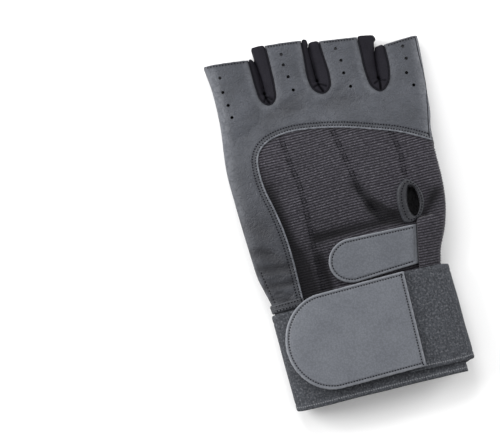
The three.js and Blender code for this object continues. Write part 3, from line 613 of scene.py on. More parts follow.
skin_tree = tree_of(skin)
hide = copy_of(skin, "hide")
cut(hide, lining)
back_yoke = copy_of(hide, "back_yoke_leather")
cut(back_yoke, upper_block, "INTERSECT", keep_tool=True)
cut(back_yoke, knit_block, keep_tool=True)
palm_shell = copy_of(hide, "palm_shell_leather")
cut(palm_shell, lower_block, "INTERSECT")
cut(palm_shell, knit_under_block)
for name, line in notch_lines.items():
    cut(back_yoke, pattern_block(name, line))
    cut(palm_shell, pattern_block(name, line))
cut(palm_shell, pattern_block("thumb_hole", smooth_line(THUMB_HOLE, closed=True)))
for x, y in VENTS:
    ring = [k * math.pi / 8 for k in range(16)]
    round_hole = [(x + VENT_RADIUS * math.cos(a), y + VENT_RADIUS * math.sin(a)) for a in ring]
    cut(back_yoke, pattern_block("vent", round_hole, 8, 60))
bpy.data.objects.remove(hide)


def line_distance(line, reach):
    """How far a plan place is from a line, up to reach."""
    length = sum(math.dist(a, b) for a, b in zip(line, line[1:]))
    places = even_points(line, max(2, round(length / 0.12)))
    near = KDTree(len(places))
    for i, place in enumerate(places):
        near.insert((*place, 0), i)
    near.balance()
    return lambda x, y: min(reach, near.find((x, y, 0))[2])


from_knit = line_distance(knit_line, 6)
from_notches = [line_distance(line, 6) for line in notch_lines.values()]


def sewn_strip(away):
    """1 in the pressed strip that holds two rows of stitches beside an edge."""
    return math.exp(-(((away - 1.8) / 1.3) ** 4))


def yoke_press(x, y, z):
    if z < seam_height(y) + 1.5:
        return x, y, z
    rolled = 0.4 * max(math.exp(-away(x, y) ** 2) for away in from_notches) if y > 60 else 0
    return x, y, z - rolled - 0.3 * sewn_strip(from_knit(x, y))


def finger_mouth(x):
    """Place of the mouths' edge along the glove at x."""
    for rows in FINGERS.values():
        left, right = rows["left"][-1], rows["right"][-1]
        if left - 1.5 <= x <= right + 1.5:
            return rows["y"][-1] + rows["slant"][-1] * (x - left) / (right - left)
    return 200


# Painted shade and darker tone on the back leather: painted shade along the notch edges and in the dents, a
# dark line 0.9 mm behind each mouth's edge, a darker pressed strip beside the knit, and the strip towards the
# cuff on the thumb side simply darker.
def yoke_shade_and_tone(x, y, z):
    mouth = finger_mouth(x) - y
    hem = math.exp(-(((mouth - 0.9) / 0.8) ** 2)) * 0.5 if mouth < 4 else 0
    notch = max(math.exp(-((away(x, y) / 0.7) ** 2)) for away in from_notches) * 0.75 if y > 60 else 0
    strip = 0.3 * sewn_strip(from_knit(x, y))
    low = 0.36 * min(1, max(0, (62 - y) / 58)) * min(1, max(0, (-20 - x) / 10))
    return max(hem, notch, strip, low) + 0.4 * min(1, dent_depth(LEATHER_DENTS, x, y))


# Wear and painted sheen on the back leather: the edge beside the knit pale with rubbing and painted
# highlight, a pale line at each mouth's edge, painted sheen along the outer sides and beside each notch.
def yoke_wear_and_sheen(x, y, z):
    middle, half, _, _, _ = hand_row(min(y, 84))
    # Painted sheen along the hand's outer sides.
    side = min(1, max(0, abs(x - middle) / half - 0.9) * 12)
    mouth = finger_mouth(x) - y
    hem = 0.3 * math.exp(-((mouth / 0.5) ** 2)) if mouth < 3 else 0
    notch = 0
    # Painted highlight beside each notch, stronger on its left side, the side towards the light.
    for line, away in zip(NOTCHES.values(), from_notches):
        if y > 66:
            lit = 0.15 if x < line[4][0] else 0.05
            notch = max(notch, lit * math.exp(-(((away(x, y) - 2.1) / 1.4) ** 2)))
    return max(0.6 * math.exp(-((from_knit(x, y) / 0.6) ** 2)), 0.26 * side, hem, notch)


reshaped(back_yoke, yoke_press)
marked(back_yoke, "painted_shade_and_dark_tone", yoke_shade_and_tone)
marked(back_yoke, "wear_and_sheen", yoke_wear_and_sheen)


def new_finish(name, roughness, specular):
    finish = bpy.data.materials.new(name)
    finish.use_nodes = True
    shader = finish.node_tree.nodes["Principled BSDF"]
    shader.inputs["Roughness"].default_value = roughness
    shader.inputs["Specular IOR Level"].default_value = specular
    return finish, finish.node_tree, shader


def step(tree, kind, inputs, **settings):
    """One node of a finish, with its values and links."""
    node = tree.nodes.new("ShaderNode" + kind)
    for name, value in settings.items():
        setattr(node, name, value)
    for socket, value in inputs.items():
        if isinstance(value, bpy.types.NodeSocket):
            tree.links.new(value, node.inputs[socket])
        else:
            node.inputs[socket].default_value = value
    return node


def ranged(tree, value, low, high, to_low, to_high):
    made = step(
        tree, "MapRange",
        {"Value": value, "From Min": low, "From Max": high, "To Min": to_low, "To Max": to_high},
    )
    return made.outputs["Result"]


def mixed(tree, share, first, second, way="MIX"):
    made = step(tree, "MixRGB", {"Fac": share, "Color1": first, "Color2": second}, blend_type=way)
    return made.outputs["Color"]


def leather_finish(name, dark, light, wear_and_sheen, grain, crease):
    """Dyed leather: clouded colour, pebbled grain, fine creases; pale where it is rubbed and where a
    highlight is painted, near black where shade is painted and where the leather is darker.
    """
    finish, tree, shader = new_finish(name, 0.55, 0.42)
    place = step(tree, "TexCoord", {}).outputs["Object"]
    cloud = step(tree, "TexNoise", {"Vector": place, "Scale": 70, "Detail": 4}).outputs["Fac"]
    pebble = step(tree, "TexVoronoi", {"Vector": place, "Scale": 1150}).outputs["Distance"]
    pores = step(tree, "TexNoise", {"Vector": place, "Scale": 3200, "Detail": 3}).outputs["Fac"]
    lines = step(
        tree, "TexNoise", {"Vector": place, "Scale": 210, "Detail": 6, "Distortion": 0.8}
    ).outputs["Fac"]
    ridges = step(tree, "Math", {0: lines, 1: 0.5}, operation="SUBTRACT").outputs[0]
    ridges = step(tree, "Math", {0: ridges}, operation="ABSOLUTE").outputs[0]
    # The pale mark is partly wear and partly painted highlight; the dark mark is painted shade and darker
    # tone.
    sheen_and_rubbing = step(tree, "Attribute", {}, attribute_name="wear_and_sheen").outputs["Fac"]
    painted_shade_and_dark_tone = step(tree, "Attribute", {}, attribute_name="painted_shade_and_dark_tone").outputs["Fac"]
    colour = mixed(tree, ranged(tree, cloud, 0.32, 0.68, 0, 1), dark, light)
    shade = ranged(tree, pebble, 0, 0.75, 1.12, 0.8)
    colour = mixed(tree, 1, colour, shade, "MULTIPLY")
    patchy = step(tree, "TexNoise", {"Vector": place, "Scale": 520, "Detail": 4}).outputs["Fac"]
    patchy = ranged(tree, patchy, 0.3, 0.62, 0.15, 1)
    sheen_and_rubbing = step(tree, "Math", {0: sheen_and_rubbing, 1: patchy}, operation="MULTIPLY").outputs[0]
    # Pale with rubbing and with painted sheen.
    colour = mixed(tree, sheen_and_rubbing, colour, wear_and_sheen)
    # Painted shade and darker tone: towards near black.
    colour = mixed(tree, painted_shade_and_dark_tone, colour, (0.008, 0.008, 0.011, 1))
    tree.links.new(colour, shader.inputs["Base Color"])
    tree.links.new(ranged(tree, cloud, 0.3, 0.7, 0.6, 0.5), shader.inputs["Roughness"])
    height = step(tree, "Math", {0: pebble, 1: -grain}, operation="MULTIPLY").outputs[0]
    height = step(tree, "Math", {0: pores, 1: 0.35 * grain, 2: height}, operation="MULTIPLY_ADD").outputs[0]
    fold = ranged(tree, ridges, 0, 0.05, -crease, 0)
    height = step(tree, "Math", {0: height, 1: fold}, operation="ADD").outputs[0]
    bump = step(tree, "Bump", {"Height": height, "Distance": 0.0003, "Strength": 0.8})
    tree.links.new(bump.outputs["Normal"], shader.inputs["Normal"])
    return finish


dyed_leather = leather_finish(
    "dyed_leather", (0.032, 0.0355, 0.0445, 1), (0.049, 0.0535, 0.066, 1), (0.24, 0.25, 0.28, 1), 0.5, 0.5
)


def into_frame(piece, finish, slot, *nodes):
    """The finished piece goes to its place in metres and rides on the glove."""
    piece.data.transform(TO_FRAME)
    for face in piece.data.polygons:
        face.use_smooth = True
    piece.data.materials.clear()
    piece.data.materials.append(finish)
    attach(piece, "root")
    if nodes:
        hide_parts(*nodes)


def crisp(piece, angle=40):
    """Sharp where cut edges meet the smooth faces."""
    for face in piece.data.polygons:
        face.use_smooth = True
    piece.data.set_sharp_from_angle(angle=math.radians(angle))


def paint_inner_shade(piece, inward):
    """Painted shade: near black where the leather's inner face, inside the glove, looks up, 1, or down, -1.
    """
    marks = piece.data.attributes["painted_shade_and_dark_tone"].data
    for vertex, mark in zip(piece.data.vertices, marks):
        if vertex.normal.z * inward > 0.25:
            mark.value = 0.94


paint_inner_shade(back_yoke, -1)
crisp(back_yoke)
yoke_tree = tree_of(back_yoke)
into_frame(back_yoke, dyed_leather, "dyed_leather", "back_yoke")


from_palm_seam = line_distance(PALM_SEAM, 6)


def inner_floor_shade(x, y, z):
    """Painted shade on the inner side of the palm's leather just behind the fingers' mouths."""
    if finger_mouth(x) - y > 6 or not 0.7 < z < 5:
        return 0
    inside = (rows["left"][-1] + 4 < x < rows["right"][-1] - 4 for rows in FINGERS.values())
    return 0.94 * any(inside)


# Painted shade and darker tone on the palm leather: a darker band behind the mouths, painted shade along the
# notch edges, in the dents and inside the fingers.
def palm_shade_and_tone(x, y, z):
    mouth = finger_mouth(x) - y
    hem = math.exp(-(((mouth - 3.5) / 3) ** 4)) * 0.25 if mouth < 12 else 0
    notch = max(math.exp(-((away(x, y) / 0.7) ** 2)) for away in from_notches) * 0.75 if y > 60 else 0
    return max(hem, notch, 0.6 * min(1, dent_depth(PALM_DENTS, x, y)), inner_floor_shade(x, y, z))


marked(palm_shell, "painted_shade_and_dark_tone", palm_shade_and_tone)
marked(palm_shell, "wear_and_sheen", lambda x, y, z: 0.35 * math.exp(-((from_palm_seam(x, y) / 0.6) ** 2)))
paint_inner_shade(palm_shell, 1)
palm_tree = tree_of(palm_shell)
palm_fingers = copy_of(palm_shell, "palm_fingers_leather")
seam_gap = SEAM_GAP / 2
above_seam = [(x, y + seam_gap) for x, y in PALM_SEAM] + [(90, 150), (-90, 150)]
below_seam = [(x, y - seam_gap) for x, y in PALM_SEAM] + [(90, -90), (-90, -90)]
cut(palm_fingers, pattern_block("above_seam", above_seam), "INTERSECT")
cut(palm_shell, pattern_block("below_seam", below_seam), "INTERSECT")
for piece, node in ((palm_shell, "palm_shell"), (palm_fingers, "palm_fingers")):
    crisp(piece)
    into_frame(piece, dyed_leather, "dyed_leather", node)

# The leather's turned edge beside the knit, and its sewing: a roll along the edge, pale with rubbing and
# painted highlight, two rows of black thread beside it, a row round each finger's mouth and one down the
# outer side.
EDGE_RADIUS = 0.42
ROW_OFFSETS = (1.0, 2.7)
STITCH_PITCH = 1.42
STITCH_HALF = (0.42, 0.42, 0.27)
STITCH_SLANT = 0.25
thread_black = (0.003, 0.003, 0.004, 1)


def offset_line(line, distance):
    """The same plan line moved to its left by a distance."""
    made = []
    for i, point in enumerate(line):
        before = Vector(line[max(i - 1, 0)])
        after = Vector(line[min(i + 1, len(line) - 1)])
        along = (after - before).normalized()
        made.append((point[0] - along.y * distance, point[1] + along.x * distance))
    return made


def surface_hit(tree, x, y, below=False):
    if below:
        return tree.ray_cast(Vector((x, y, -5)), Vector((0, 0, 1)))[:2]
    return tree.ray_cast(Vector((x, y, 60)), Vector((0, 0, -1)))[:2]


def piped(name, points, radius, closed=False):
    """A round cord of thread or folded edge through points."""
    line = bpy.data.curves.new(name, "CURVE")
    line.dimensions = "3D"
    line.bevel_depth = radius
    line.bevel_resolution = 2
    line.use_fill_caps = True
    spline = line.splines.new("POLY")
    spline.points.add(len(points) - 1)
    for knot, point in zip(spline.points, points):
        knot.co = (*point, 1)
    spline.use_cyclic_u = closed
    drawn = bpy.data.objects.new(name, line)
    bpy.context.scene.collection.objects.link(drawn)
    graph = bpy.context.evaluated_depsgraph_get()
    piece = bpy.data.objects.new(name, bpy.data.meshes.new_from_object(drawn.evaluated_get(graph)))
    bpy.context.scene.collection.objects.link(piece)
    bpy.data.objects.remove(drawn)
    piece.name = name
    return piece


def laid_on(tree, line, lift, spacing, below=False):
    """Points of a plan line on a surface, lifted from it along its normal."""
    length = sum(math.dist(a, b) for a, b in zip(line, line[1:]))
    made = []
    for x, y in even_points(line, max(2, round(length / spacing))):
        hit, normal = surface_hit(tree, x, y, below)
        if hit is not None:
            made.append(hit + normal * lift)
    return made


def stitch_rows(name, rows, finish, slot, half=STITCH_HALF, pitch=STITCH_PITCH):
    """Short stitches along rows; a row is a surface, a plan line and whether it is underneath."""
    ball = bmesh.new()
    bmesh.ops.create_uvsphere(ball, u_segments=6, v_segments=4, radius=1)
    shape = bmesh.new()
    for tree, line, below in rows:
        length = sum(math.dist(a, b) for a, b in zip(line, line[1:]))
        places = even_points(line, max(3, round(length / pitch)))
        for i, (x, y) in enumerate(places):
            hit, normal = surface_hit(tree, x, y, below)
            ahead, _ = surface_hit(tree, *places[min(i + 1, len(places) - 1)], below)
            behind, _ = surface_hit(tree, *places[max(i - 1, 0)], below)
            if hit is None or ahead is None or behind is None or abs(normal.z) < 0.15:
                continue
            along = (ahead - behind).normalized()
            normal = normal if normal.z * (-1 if below else 1) > 0 else -normal
            along = (along + normal.cross(along) * STITCH_SLANT).normalized()
            across = normal.cross(along).normalized()
            turn = Matrix((along, across, along.cross(across))).transposed().to_4x4()
            matrix = Matrix.Translation(hit + normal * 0.02) @ turn @ Matrix.Diagonal((*half, 1))
            one = bpy.data.meshes.new("one_stitch")
            ball.to_mesh(one)
            one.transform(matrix)
            shape.from_mesh(one)
            bpy.data.meshes.remove(one)
    ball.free()
    piece = keep_piece(name, shape)
    into_frame(piece, finish, slot)
    return piece


thread_finish, thread_tree, thread_shader = new_finish("black_thread", 0.7, 0.05)
thread_place = step(thread_tree, "TexCoord", {}).outputs["Object"]
twist = step(thread_tree, "TexNoise", {"Vector": thread_place, "Scale": 4200, "Detail": 2}).outputs["Fac"]
thread_tree.links.new(
    mixed(thread_tree, ranged(thread_tree, twist, 0.35, 0.65, 0, 1), thread_black, (0.014, 0.014, 0.018, 1)),
    thread_shader.inputs["Base Color"],
)
thread_bump = step(thread_tree, "Bump", {"Height": twist, "Distance": 0.0002, "Strength": 0.6})
thread_tree.links.new(thread_bump.outputs["Normal"], thread_shader.inputs["Normal"])

border = [p for p in knit_line if -31 < p[1] and p[0] < 56]
edge_points = laid_on(skin_tree, offset_line(border, -0.1), -0.3, 0.8)
turned_edge = piped("turned_edge", edge_points, EDGE_RADIUS)
# The turned edge is pale with rubbing and with painted highlight.
marked(turned_edge, "wear_and_sheen", lambda x, y, z: 0.42)
marked(turned_edge, "painted_shade_and_dark_tone", lambda x, y, z: 0.0)
into_frame(turned_edge, dyed_leather, "dyed_leather")
outer_side = [(60.2, 62), (60.9, 70), (61.1, 78), (61.4, 84), (61.8, 89.4)]
side_line = [(54.6, 37.5), (55.9, 44), (57.6, 51), (58.9, 57), *outer_side]
mouth_rows = []
for rows in FINGERS.values():
    left, right = rows["left"][-1] + 2.2, rows["right"][-1] - 2.2
    reach = rows["right"][-1] - rows["left"][-1]
    places = [left + (right - left) * k / 8 for k in range(9)]
    mouth_rows.append(
        [(x, rows["y"][-1] - 1.1 + rows["slant"][-1] * (x - left + 2.2) / reach) for x in places]
    )
yoke_rows = [(yoke_tree, offset_line(border, -away), False) for away in ROW_OFFSETS]
yoke_rows += [(yoke_tree, row, False) for row in mouth_rows]
yoke_rows.append((yoke_tree, [(-46.4, -8), (-45.1, -16), (-43.6, -24)], False))
stitch_rows("yoke_stitches", yoke_rows, thread_finish, "dyed_leather")
side_seam = piped("side_seam", laid_on(skin_tree, smooth_line(side_line), -0.1, 1), 0.3)
into_frame(side_seam, thread_finish, "dyed_leather")

# The gussets between the fingers: smooth black stretch cloth that makes the inner sides of
# neighbouring fingers, puffed into two rolls with a slit between, and gathered at the fork.
GUSSET_WALL = 1.2
GUSSET_SINK = 0.2
GUSSET_VOXEL = 0.34
GUSSET_ROUND = 1.6
GUSSET_SLITS = {
    "index_middle": [(-20.75, 81), (-20.6, 78.5), (-19.6, 75.6)],
    "middle_ring": [(7.05, 80.5), (7.3, 78), (8.6, 74.2)],
    "ring_little": [(37.8, 74), (37.9, 71.5), (37.3, 67.6)],
}
SLIT_HALF = 0.16
SLIT_BLADES = {
    "index_middle": [(-22.6, 112), (-22.2, 102), (-21.2, 99), (-20.6, 92), (-20.3, 87), (-20.6, 81)],
    "middle_ring": [(9, 112), (8.4, 102.6), (7.6, 101), (6.9, 92), (6.9, 84), (7, 80.5)],
    "ring_little": [(44.4, 112), (43.3, 100), (42, 95), (41, 91.5), (39.7, 88), (38.6, 81), (37.8, 74)],
}
PUFF = {"index": (0, 0.9), "middle": (-0.9, 0.9), "ring": (-0.9, 1.2), "little": (-1, 0)}
FORK_ARMS = {
    "index_middle": [(-22.3, 76.4), (-20.4, 78.6), (-17.6, 76.8)],
    "middle_ring": [(4.6, 77.4), (7.3, 78.2), (10.8, 76.4)],
    "ring_little": [(35, 71.2), (37.9, 72.2), (41, 71.4)],
}


def tuck_depth(lines, x, y, reach, depth):
    return depth * max(math.exp(-((away(x, y) / reach) ** 2)) for away in lines)


puffed = {}
for finger, rows in FINGERS.items():
    puffed[finger] = dict(rows)
    puffed[finger]["left"] = tuple(x + PUFF[finger][0] for x in rows["left"])
    puffed[finger]["right"] = tuple(x + PUFF[finger][1] for x in rows["right"])
gusset_skin = glove_body("gusset_skin", -GUSSET_SINK, 0, 0.4, SEAM_GAP, puffed)
gusset_hollow = glove_body(
    "gusset_hollow", -GUSSET_SINK - GUSSET_WALL, MOUTH_RUN, MOUTH_RUN, SEAM_GAP + GUSSET_WALL, puffed
)
cut(gusset_skin, gusset_hollow)
stretch_cloth, cloth_tree, cloth_shader = new_finish("black_stretch", 0.7, 0.06)
cloth_place = step(cloth_tree, "TexCoord", {}).outputs["Object"]
cloth_yarn = step(
    cloth_tree, "TexVoronoi", {"Vector": cloth_place, "Scale": 2300}
).outputs["Distance"]
cloth_cloud = step(cloth_tree, "TexNoise", {"Vector": cloth_place, "Scale": 140, "Detail": 3}).outputs["Fac"]
cloth_shade_and_seam_line = step(cloth_tree, "Attribute", {}, attribute_name="painted_shade_and_dark_tone").outputs["Fac"]
cloth_colour = mixed(
    cloth_tree, ranged(cloth_tree, cloth_cloud, 0.3, 0.7, 0, 1),
    (0.006, 0.0055, 0.008, 1), (0.0105, 0.0098, 0.0135, 1),
)
cloth_colour = mixed(
    cloth_tree, ranged(cloth_tree, cloth_yarn, 0.2, 0.6, 0, 0.3), cloth_colour, (0.024, 0.023, 0.029, 1)
)
# Painted shade and the dark seam line: towards near black.
cloth_colour = mixed(cloth_tree, cloth_shade_and_seam_line, cloth_colour, (0.001, 0.001, 0.002, 1))
cloth_tree.links.new(cloth_colour, cloth_shader.inputs["Base Color"])
cloth_bump = step(cloth_tree, "Bump", {"Height": cloth_yarn, "Distance": 0.00015, "Strength": 0.5})
cloth_tree.links.new(cloth_bump.outputs["Normal"], cloth_shader.inputs["Normal"])

for name, line in notch_lines.items():
    gusset = copy_of(gusset_skin, "gusset_" + name + "_cloth")
    cut(gusset, pattern_block("notch", line), "INTERSECT")
    softened(gusset, GUSSET_VOXEL, 8)
    blade = smooth_line(SLIT_BLADES[name])
    blade_outline = offset_line(blade, SLIT_HALF) + offset_line(blade, -SLIT_HALF)[::-1]
    cut(gusset, pattern_block("blade", blade_outline))
    slit_line = line_distance(smooth_line(GUSSET_SLITS[name]), 6)
    arms_line = line_distance(smooth_line(FORK_ARMS[name]), 6)
    notch_away = line_distance(line, 6)
    blade_away = line_distance(blade, 6)
    end_y = GUSSET_SLITS[name][0][1]

    def tucked(x, y, z):
        if y > end_y + 1:
            near_end = max(0, 1 - (finger_mouth(x) - y) / 3.5)
            within = max(0, GUSSET_ROUND - min(notch_away(x, y), blade_away(x, y) - SLIT_HALF))
            within = min(within, GUSSET_ROUND)
            return x, y - near_end * (GUSSET_ROUND - math.sqrt(GUSSET_ROUND**2 - within**2)), z
        down = tuck_depth([slit_line], x, y, 0.7, 1.5) + tuck_depth([arms_line], x, y, 0.5, 0.8)
        above = z > seam_height(y)
        return x, y, z - down if above else max(0, z + down * 0.6)

    reshaped(gusset, tucked)

    # Painted shade in the creases at the slit and the fork, and a dark line along the notch edge, partly
    # painted shade where the cloth goes under the leather and partly the dark seam.
    def gusset_shade_and_seam_line(x, y, z):
        crease = max(
            math.exp(-((slit_line(x, y) / 0.6) ** 2)), 0.8 * math.exp(-((arms_line(x, y) / 0.4) ** 2))
        )
        edge = math.exp(-((notch_away(x, y) / 0.6) ** 2))
        return max(crease if y < end_y + 1 else 0, edge)

    marked(gusset, "painted_shade_and_dark_tone", gusset_shade_and_seam_line)
    into_frame(gusset, stretch_cloth, "black_stretch", "gusset_" + name)
    outline = [p for p in line if p[1] < finger_mouth(p[0]) - 0.5]
    for side, under in (("back", False), ("palm", True)):
        seam = piped(
            "gusset_" + name + "_seam_" + side, laid_on(skin_tree, outline, -0.35, 0.8, under), 0.38
        )
        into_frame(seam, thread_finish, "black_stretch")
bpy.data.objects.remove(gusset_skin)

# The ribbed knit of the back: a stretch panel with cross ribs, sewn down in three lengthwise
# channels, that turns round the little finger's side. Its free edge laps over the strap's root.
KNIT_WALL = 1.3
KNIT_SINK = 0.4
RIB_PITCH = 1.35
RIB_DEPTH = 0.26
KNIT_ROW_STEP = RIB_PITCH / 4
KNIT_COLUMNS = 104
KNIT_TUCK = 0.4
CHANNELS = [
    [(-19.1, 58.4), (-17.9, 42.3), (-16.2, 28.5), (-16.4, 15.7), (-16.9, 4), (-17.6, -12), (-18, -26)],
    [(7, 55.4), (9.1, 42.3), (10.5, 33.3), (11.9, 24.3), (13.6, 14.7), (18, 6), (21, 1)],
    [(36, 45), (37.7, 32.6), (37.1, 23.3), (37.2, 18.4)],
]
KNIT_DENTS = [
    {"ends": ((11.5, 22), (19, 8)), "reach": 3.4, "depth": 1.3},
    {"ends": ((17, 9), (31, 0)), "reach": 3.6, "depth": 2},
    {"ends": ((-14, 1.5), (26, 0.6)), "reach": 3.2, "depth": 1.5},
    {"ends": ((-30, 32), (-25, -24)), "reach": 4.2, "depth": 1.1},
    {"ends": ((-24, -4), (-21, -26)), "reach": 4, "depth": 0.6},
    {"ends": ((41.5, 0), (51, 9)), "reach": 3.4, "depth": 1.4},
    {"ends": ((-15, -8), (-14, -24)), "reach": 3, "depth": 1},
    {"ends": ((44, 20), (47, 8)), "reach": 3, "depth": 0.5},
]
top_of_line = max(range(len(knit_line)), key=lambda i: knit_line[i][1])
right_branch = np.array(knit_line[: top_of_line + 1])
left_branch = np.array(knit_line[top_of_line:])[::-1]
under_branch = np.array(knit_under_line)[::-1]
from_channels = [line_distance(smooth_line(line), 6) for line in CHANNELS]
from_binding = line_distance([(33, 12), (32.5, 6), (34, 0), (40, 2), (42, 8), (39, 15), (33, 12)], 6)


def knit_row(y):
    """The section line at y from the leather's edge over the back and round the outer side."""
    middle, half, waist, bottom, top = hand_row(y)
    half -= KNIT_SINK
    line = []
    for k in range(121):
        share = math.sin(math.pi * (k / 120 - 0.5))
        z = waist + (top - waist - KNIT_SINK) * arch(share, BACK_SQUARENESS)
        line.append((middle + half * share, z))
    for k in range(1, 61):
        share = math.cos(math.pi * k / 120)
        z = waist - (waist - bottom - KNIT_SINK) * arch(share, PALM_SQUARENESS)
        line.append((middle + half * share, max(0, z)))
    points = np.array(line)
    along = np.concatenate(([0], np.cumsum(np.linalg.norm(np.diff(points, axis=0), axis=1))))
    left_x = np.interp(y, left_branch[:, 1], left_branch[:, 0]) - KNIT_TUCK
    start = np.interp(left_x, points[:121, 0], along[:121])
    right_x = np.interp(y, right_branch[:, 1], right_branch[:, 0]) + KNIT_TUCK
    on_back = np.interp(right_x, points[:121, 0], along[:121])
    under_x = np.interp(y, under_branch[:, 1], under_branch[:, 0])
    beneath = np.interp(-under_x, -points[120:, 0], along[120:])
    swap = min(1, max(0, (35.3 - y) / 2.3))
    end = on_back * (1 - swap) + beneath * swap
    return points, along, start, max(end, start + 0.6)


def knit_relief(x, y, z, share):
    if z < seam_height(y):
        return 0
    channel = max(math.exp(-((away(x, y) / 1.5) ** 2)) for away in from_channels)
    crown = arch(share, 2)
    bulge = 0.5 * math.exp(-(((x - 28) / 9) ** 2 + ((y - 22) / 14) ** 2))
    bulge += 0.6 * math.exp(-(((x - 49) / 5) ** 2 + ((y - 16) / 12) ** 2))
    return (bulge - 0.5 * channel - dent_depth(KNIT_DENTS, x, y)) * crown


knit_shape = bmesh.new()
knit_shape.loops.layers.uv.new("UVMap")
groove_shade_layer = knit_shape.verts.layers.float.new("painted_groove_shade")
knit_first, knit_last = -52.0, 58.2
knit_rows = round((knit_last - knit_first) / KNIT_ROW_STEP)
bmesh.ops.create_grid(
    knit_shape, x_segments=KNIT_COLUMNS, y_segments=knit_rows, size=0.5, calc_uvs=True
)
read_rows = {}
knit_marks = {}
for vertex in knit_shape.verts:
    u = vertex.co.x + 0.5
    j = round((vertex.co.y + 0.5) * knit_rows)
    y = knit_first + j * KNIT_ROW_STEP
    if j not in read_rows:
        read_rows[j] = knit_row(y)
    points, along, start, end = read_rows[j]
    at = start + (end - start) * u
    x = float(np.interp(at, along, points[:, 0]))
    z = float(np.interp(at, along, points[:, 1]))
    ahead = np.array([np.interp(at + 0.4, along, points[:, k]) for k in (0, 1)])
    behind = np.array([np.interp(at - 0.4, along, points[:, k]) for k in (0, 1)])
    run = ahead - behind
    run /= max(np.linalg.norm(run), 1e-9)
    middle, half, _, _, _ = hand_row(y)
    rib = RIB_DEPTH * math.cos(2 * math.pi * j / 4)
    # Painted groove shade: 1 in the groove between ribs, 0 on a rib's crest.
    vertex[groove_shade_layer] = 0.5 - 0.5 * math.cos(2 * math.pi * j / 4)
    lift = rib + knit_relief(x, y, z, (x - middle) / half)
    lift += 0.12 * noise.noise(Vector((x * 0.25, y * 0.25, z * 0.25)))
    sway = 0.35 * math.sin(x * 0.11 + 1.3 * math.sin(y * 0.07)) * arch((x - middle) / half, 2)
    vertex.co = (x - run[1] * lift, y + sway, max(0, z + run[0] * lift))
knit_panel = keep_piece("knit_panel", knit_shape)
knit_wall = knit_panel.modifiers.new("wall", "SOLIDIFY")
knit_wall.thickness = KNIT_WALL
knit_wall.offset = -1
settle(knit_panel)
SLIT_HOLE = [
    (37.2, 15), (35.6, 11.6), (34.6, 7), (34.9, 2.4), (36.5, -0.2), (38.1, 0.4), (40.5, 5), (40.8, 10),
    (39.6, 14.2),
]
slit_hole_line = smooth_line(SLIT_HOLE, closed=True)
cut(knit_panel, pattern_block("slit_hole", slit_hole_line))


# Painted shade on the knit: in the channels, along the leather's edge and in a broad patch at the lower left,
# in the folds, and evenly below the side seam.
def knit_painted_shade(x, y, z):
    channel = 0.22 * max(math.exp(-((away(x, y) / 1.2) ** 2)) for away in from_channels)
    beside = 0.55 * math.exp(-((from_knit(x, y) / 1.3) ** 2))
    if x < -8 and y < 44:
        beside = max(beside, 0.6 * math.exp(-((from_knit(x, y) / 3.4) ** 2)))
    beside += 0.42 * min(1, max(0, (8 - y) / 18)) * min(1, max(0, (-10 - x) / 4))
    beside += 0.28 * math.exp(-(((x + 10) / 12) ** 2 + ((y - 6) / 8) ** 2))
    dent = 0.9 * min(1, dent_depth(KNIT_DENTS, x, y) / 1.6) ** 1.5
    return min(0.93, channel + beside + dent) if z > seam_height(y) else 0.2


marked(knit_panel, "painted_shade_and_dark_tone", knit_painted_shade)
knit_tree = tree_of(knit_panel)

rib_knit, rib_tree, rib_shader = new_finish("rib_knit", 0.85, 0.08)
rib_place = step(rib_tree, "TexCoord", {}).outputs["Object"]
rib_lie = step(rib_tree, "Mapping", {"Vector": rib_place, "Scale": (0.55, 1, 1)}).outputs["Vector"]
yarn = step(rib_tree, "TexVoronoi", {"Vector": rib_lie, "Scale": 2100}).outputs["Distance"]
fleck = step(rib_tree, "TexNoise", {"Vector": rib_lie, "Scale": 1500, "Detail": 2}).outputs["Fac"]
rib_cloud = step(rib_tree, "TexNoise", {"Vector": rib_place, "Scale": 60, "Detail": 3}).outputs["Fac"]
rib_groove_shade = step(rib_tree, "Attribute", {}, attribute_name="painted_groove_shade").outputs["Fac"]
rib_shade_and_tone = step(rib_tree, "Attribute", {}, attribute_name="painted_shade_and_dark_tone").outputs["Fac"]
rib_colour = mixed(
    rib_tree, ranged(rib_tree, rib_cloud, 0.3, 0.7, 0, 1), (0.047, 0.043, 0.055, 1), (0.062, 0.058, 0.072, 1)
)
rib_colour = mixed(rib_tree, ranged(rib_tree, fleck, 0.42, 0.72, 0, 0.6), rib_colour, (0.17, 0.163, 0.185, 1))
rib_colour = mixed(rib_tree, ranged(rib_tree, yarn, 0.35, 0.8, 0, 0.7), rib_colour, (0.008, 0.007, 0.01, 1))
# Painted shade in the grooves between the ribs.
rib_colour = mixed(
    rib_tree, ranged(rib_tree, rib_groove_shade, 0.15, 0.85, 0, 0.85), rib_colour, (0.004, 0.0035, 0.0055, 1)
)
# Painted shade and darker tone from the knit's marks.
rib_colour = mixed(rib_tree, rib_shade_and_tone, rib_colour, (0.003, 0.0027, 0.004, 1))
rib_tree.links.new(rib_colour, rib_shader.inputs["Base Color"])
rib_bump = step(rib_tree, "Bump", {"Height": yarn, "Distance": 0.0003, "Strength": 0.7})
rib_tree.links.new(rib_bump.outputs["Normal"], rib_shader.inputs["Normal"])
rib_shader.inputs["Sheen Weight"].default_value = 0.2
into_frame(knit_panel, rib_knit, "rib_knit", "back_panel")
channel_rows = []
for line in CHANNELS:
    smooth = [p for p in smooth_line(line) if p[1] > -24]
    for side in (-0.95, 0.95):
        channel_rows.append((knit_tree, offset_line(smooth, side), False))
stitch_rows("channel_stitches", channel_rows, thread_finish, "rib_knit", (0.5, 0.36, 0.32), 1.6)

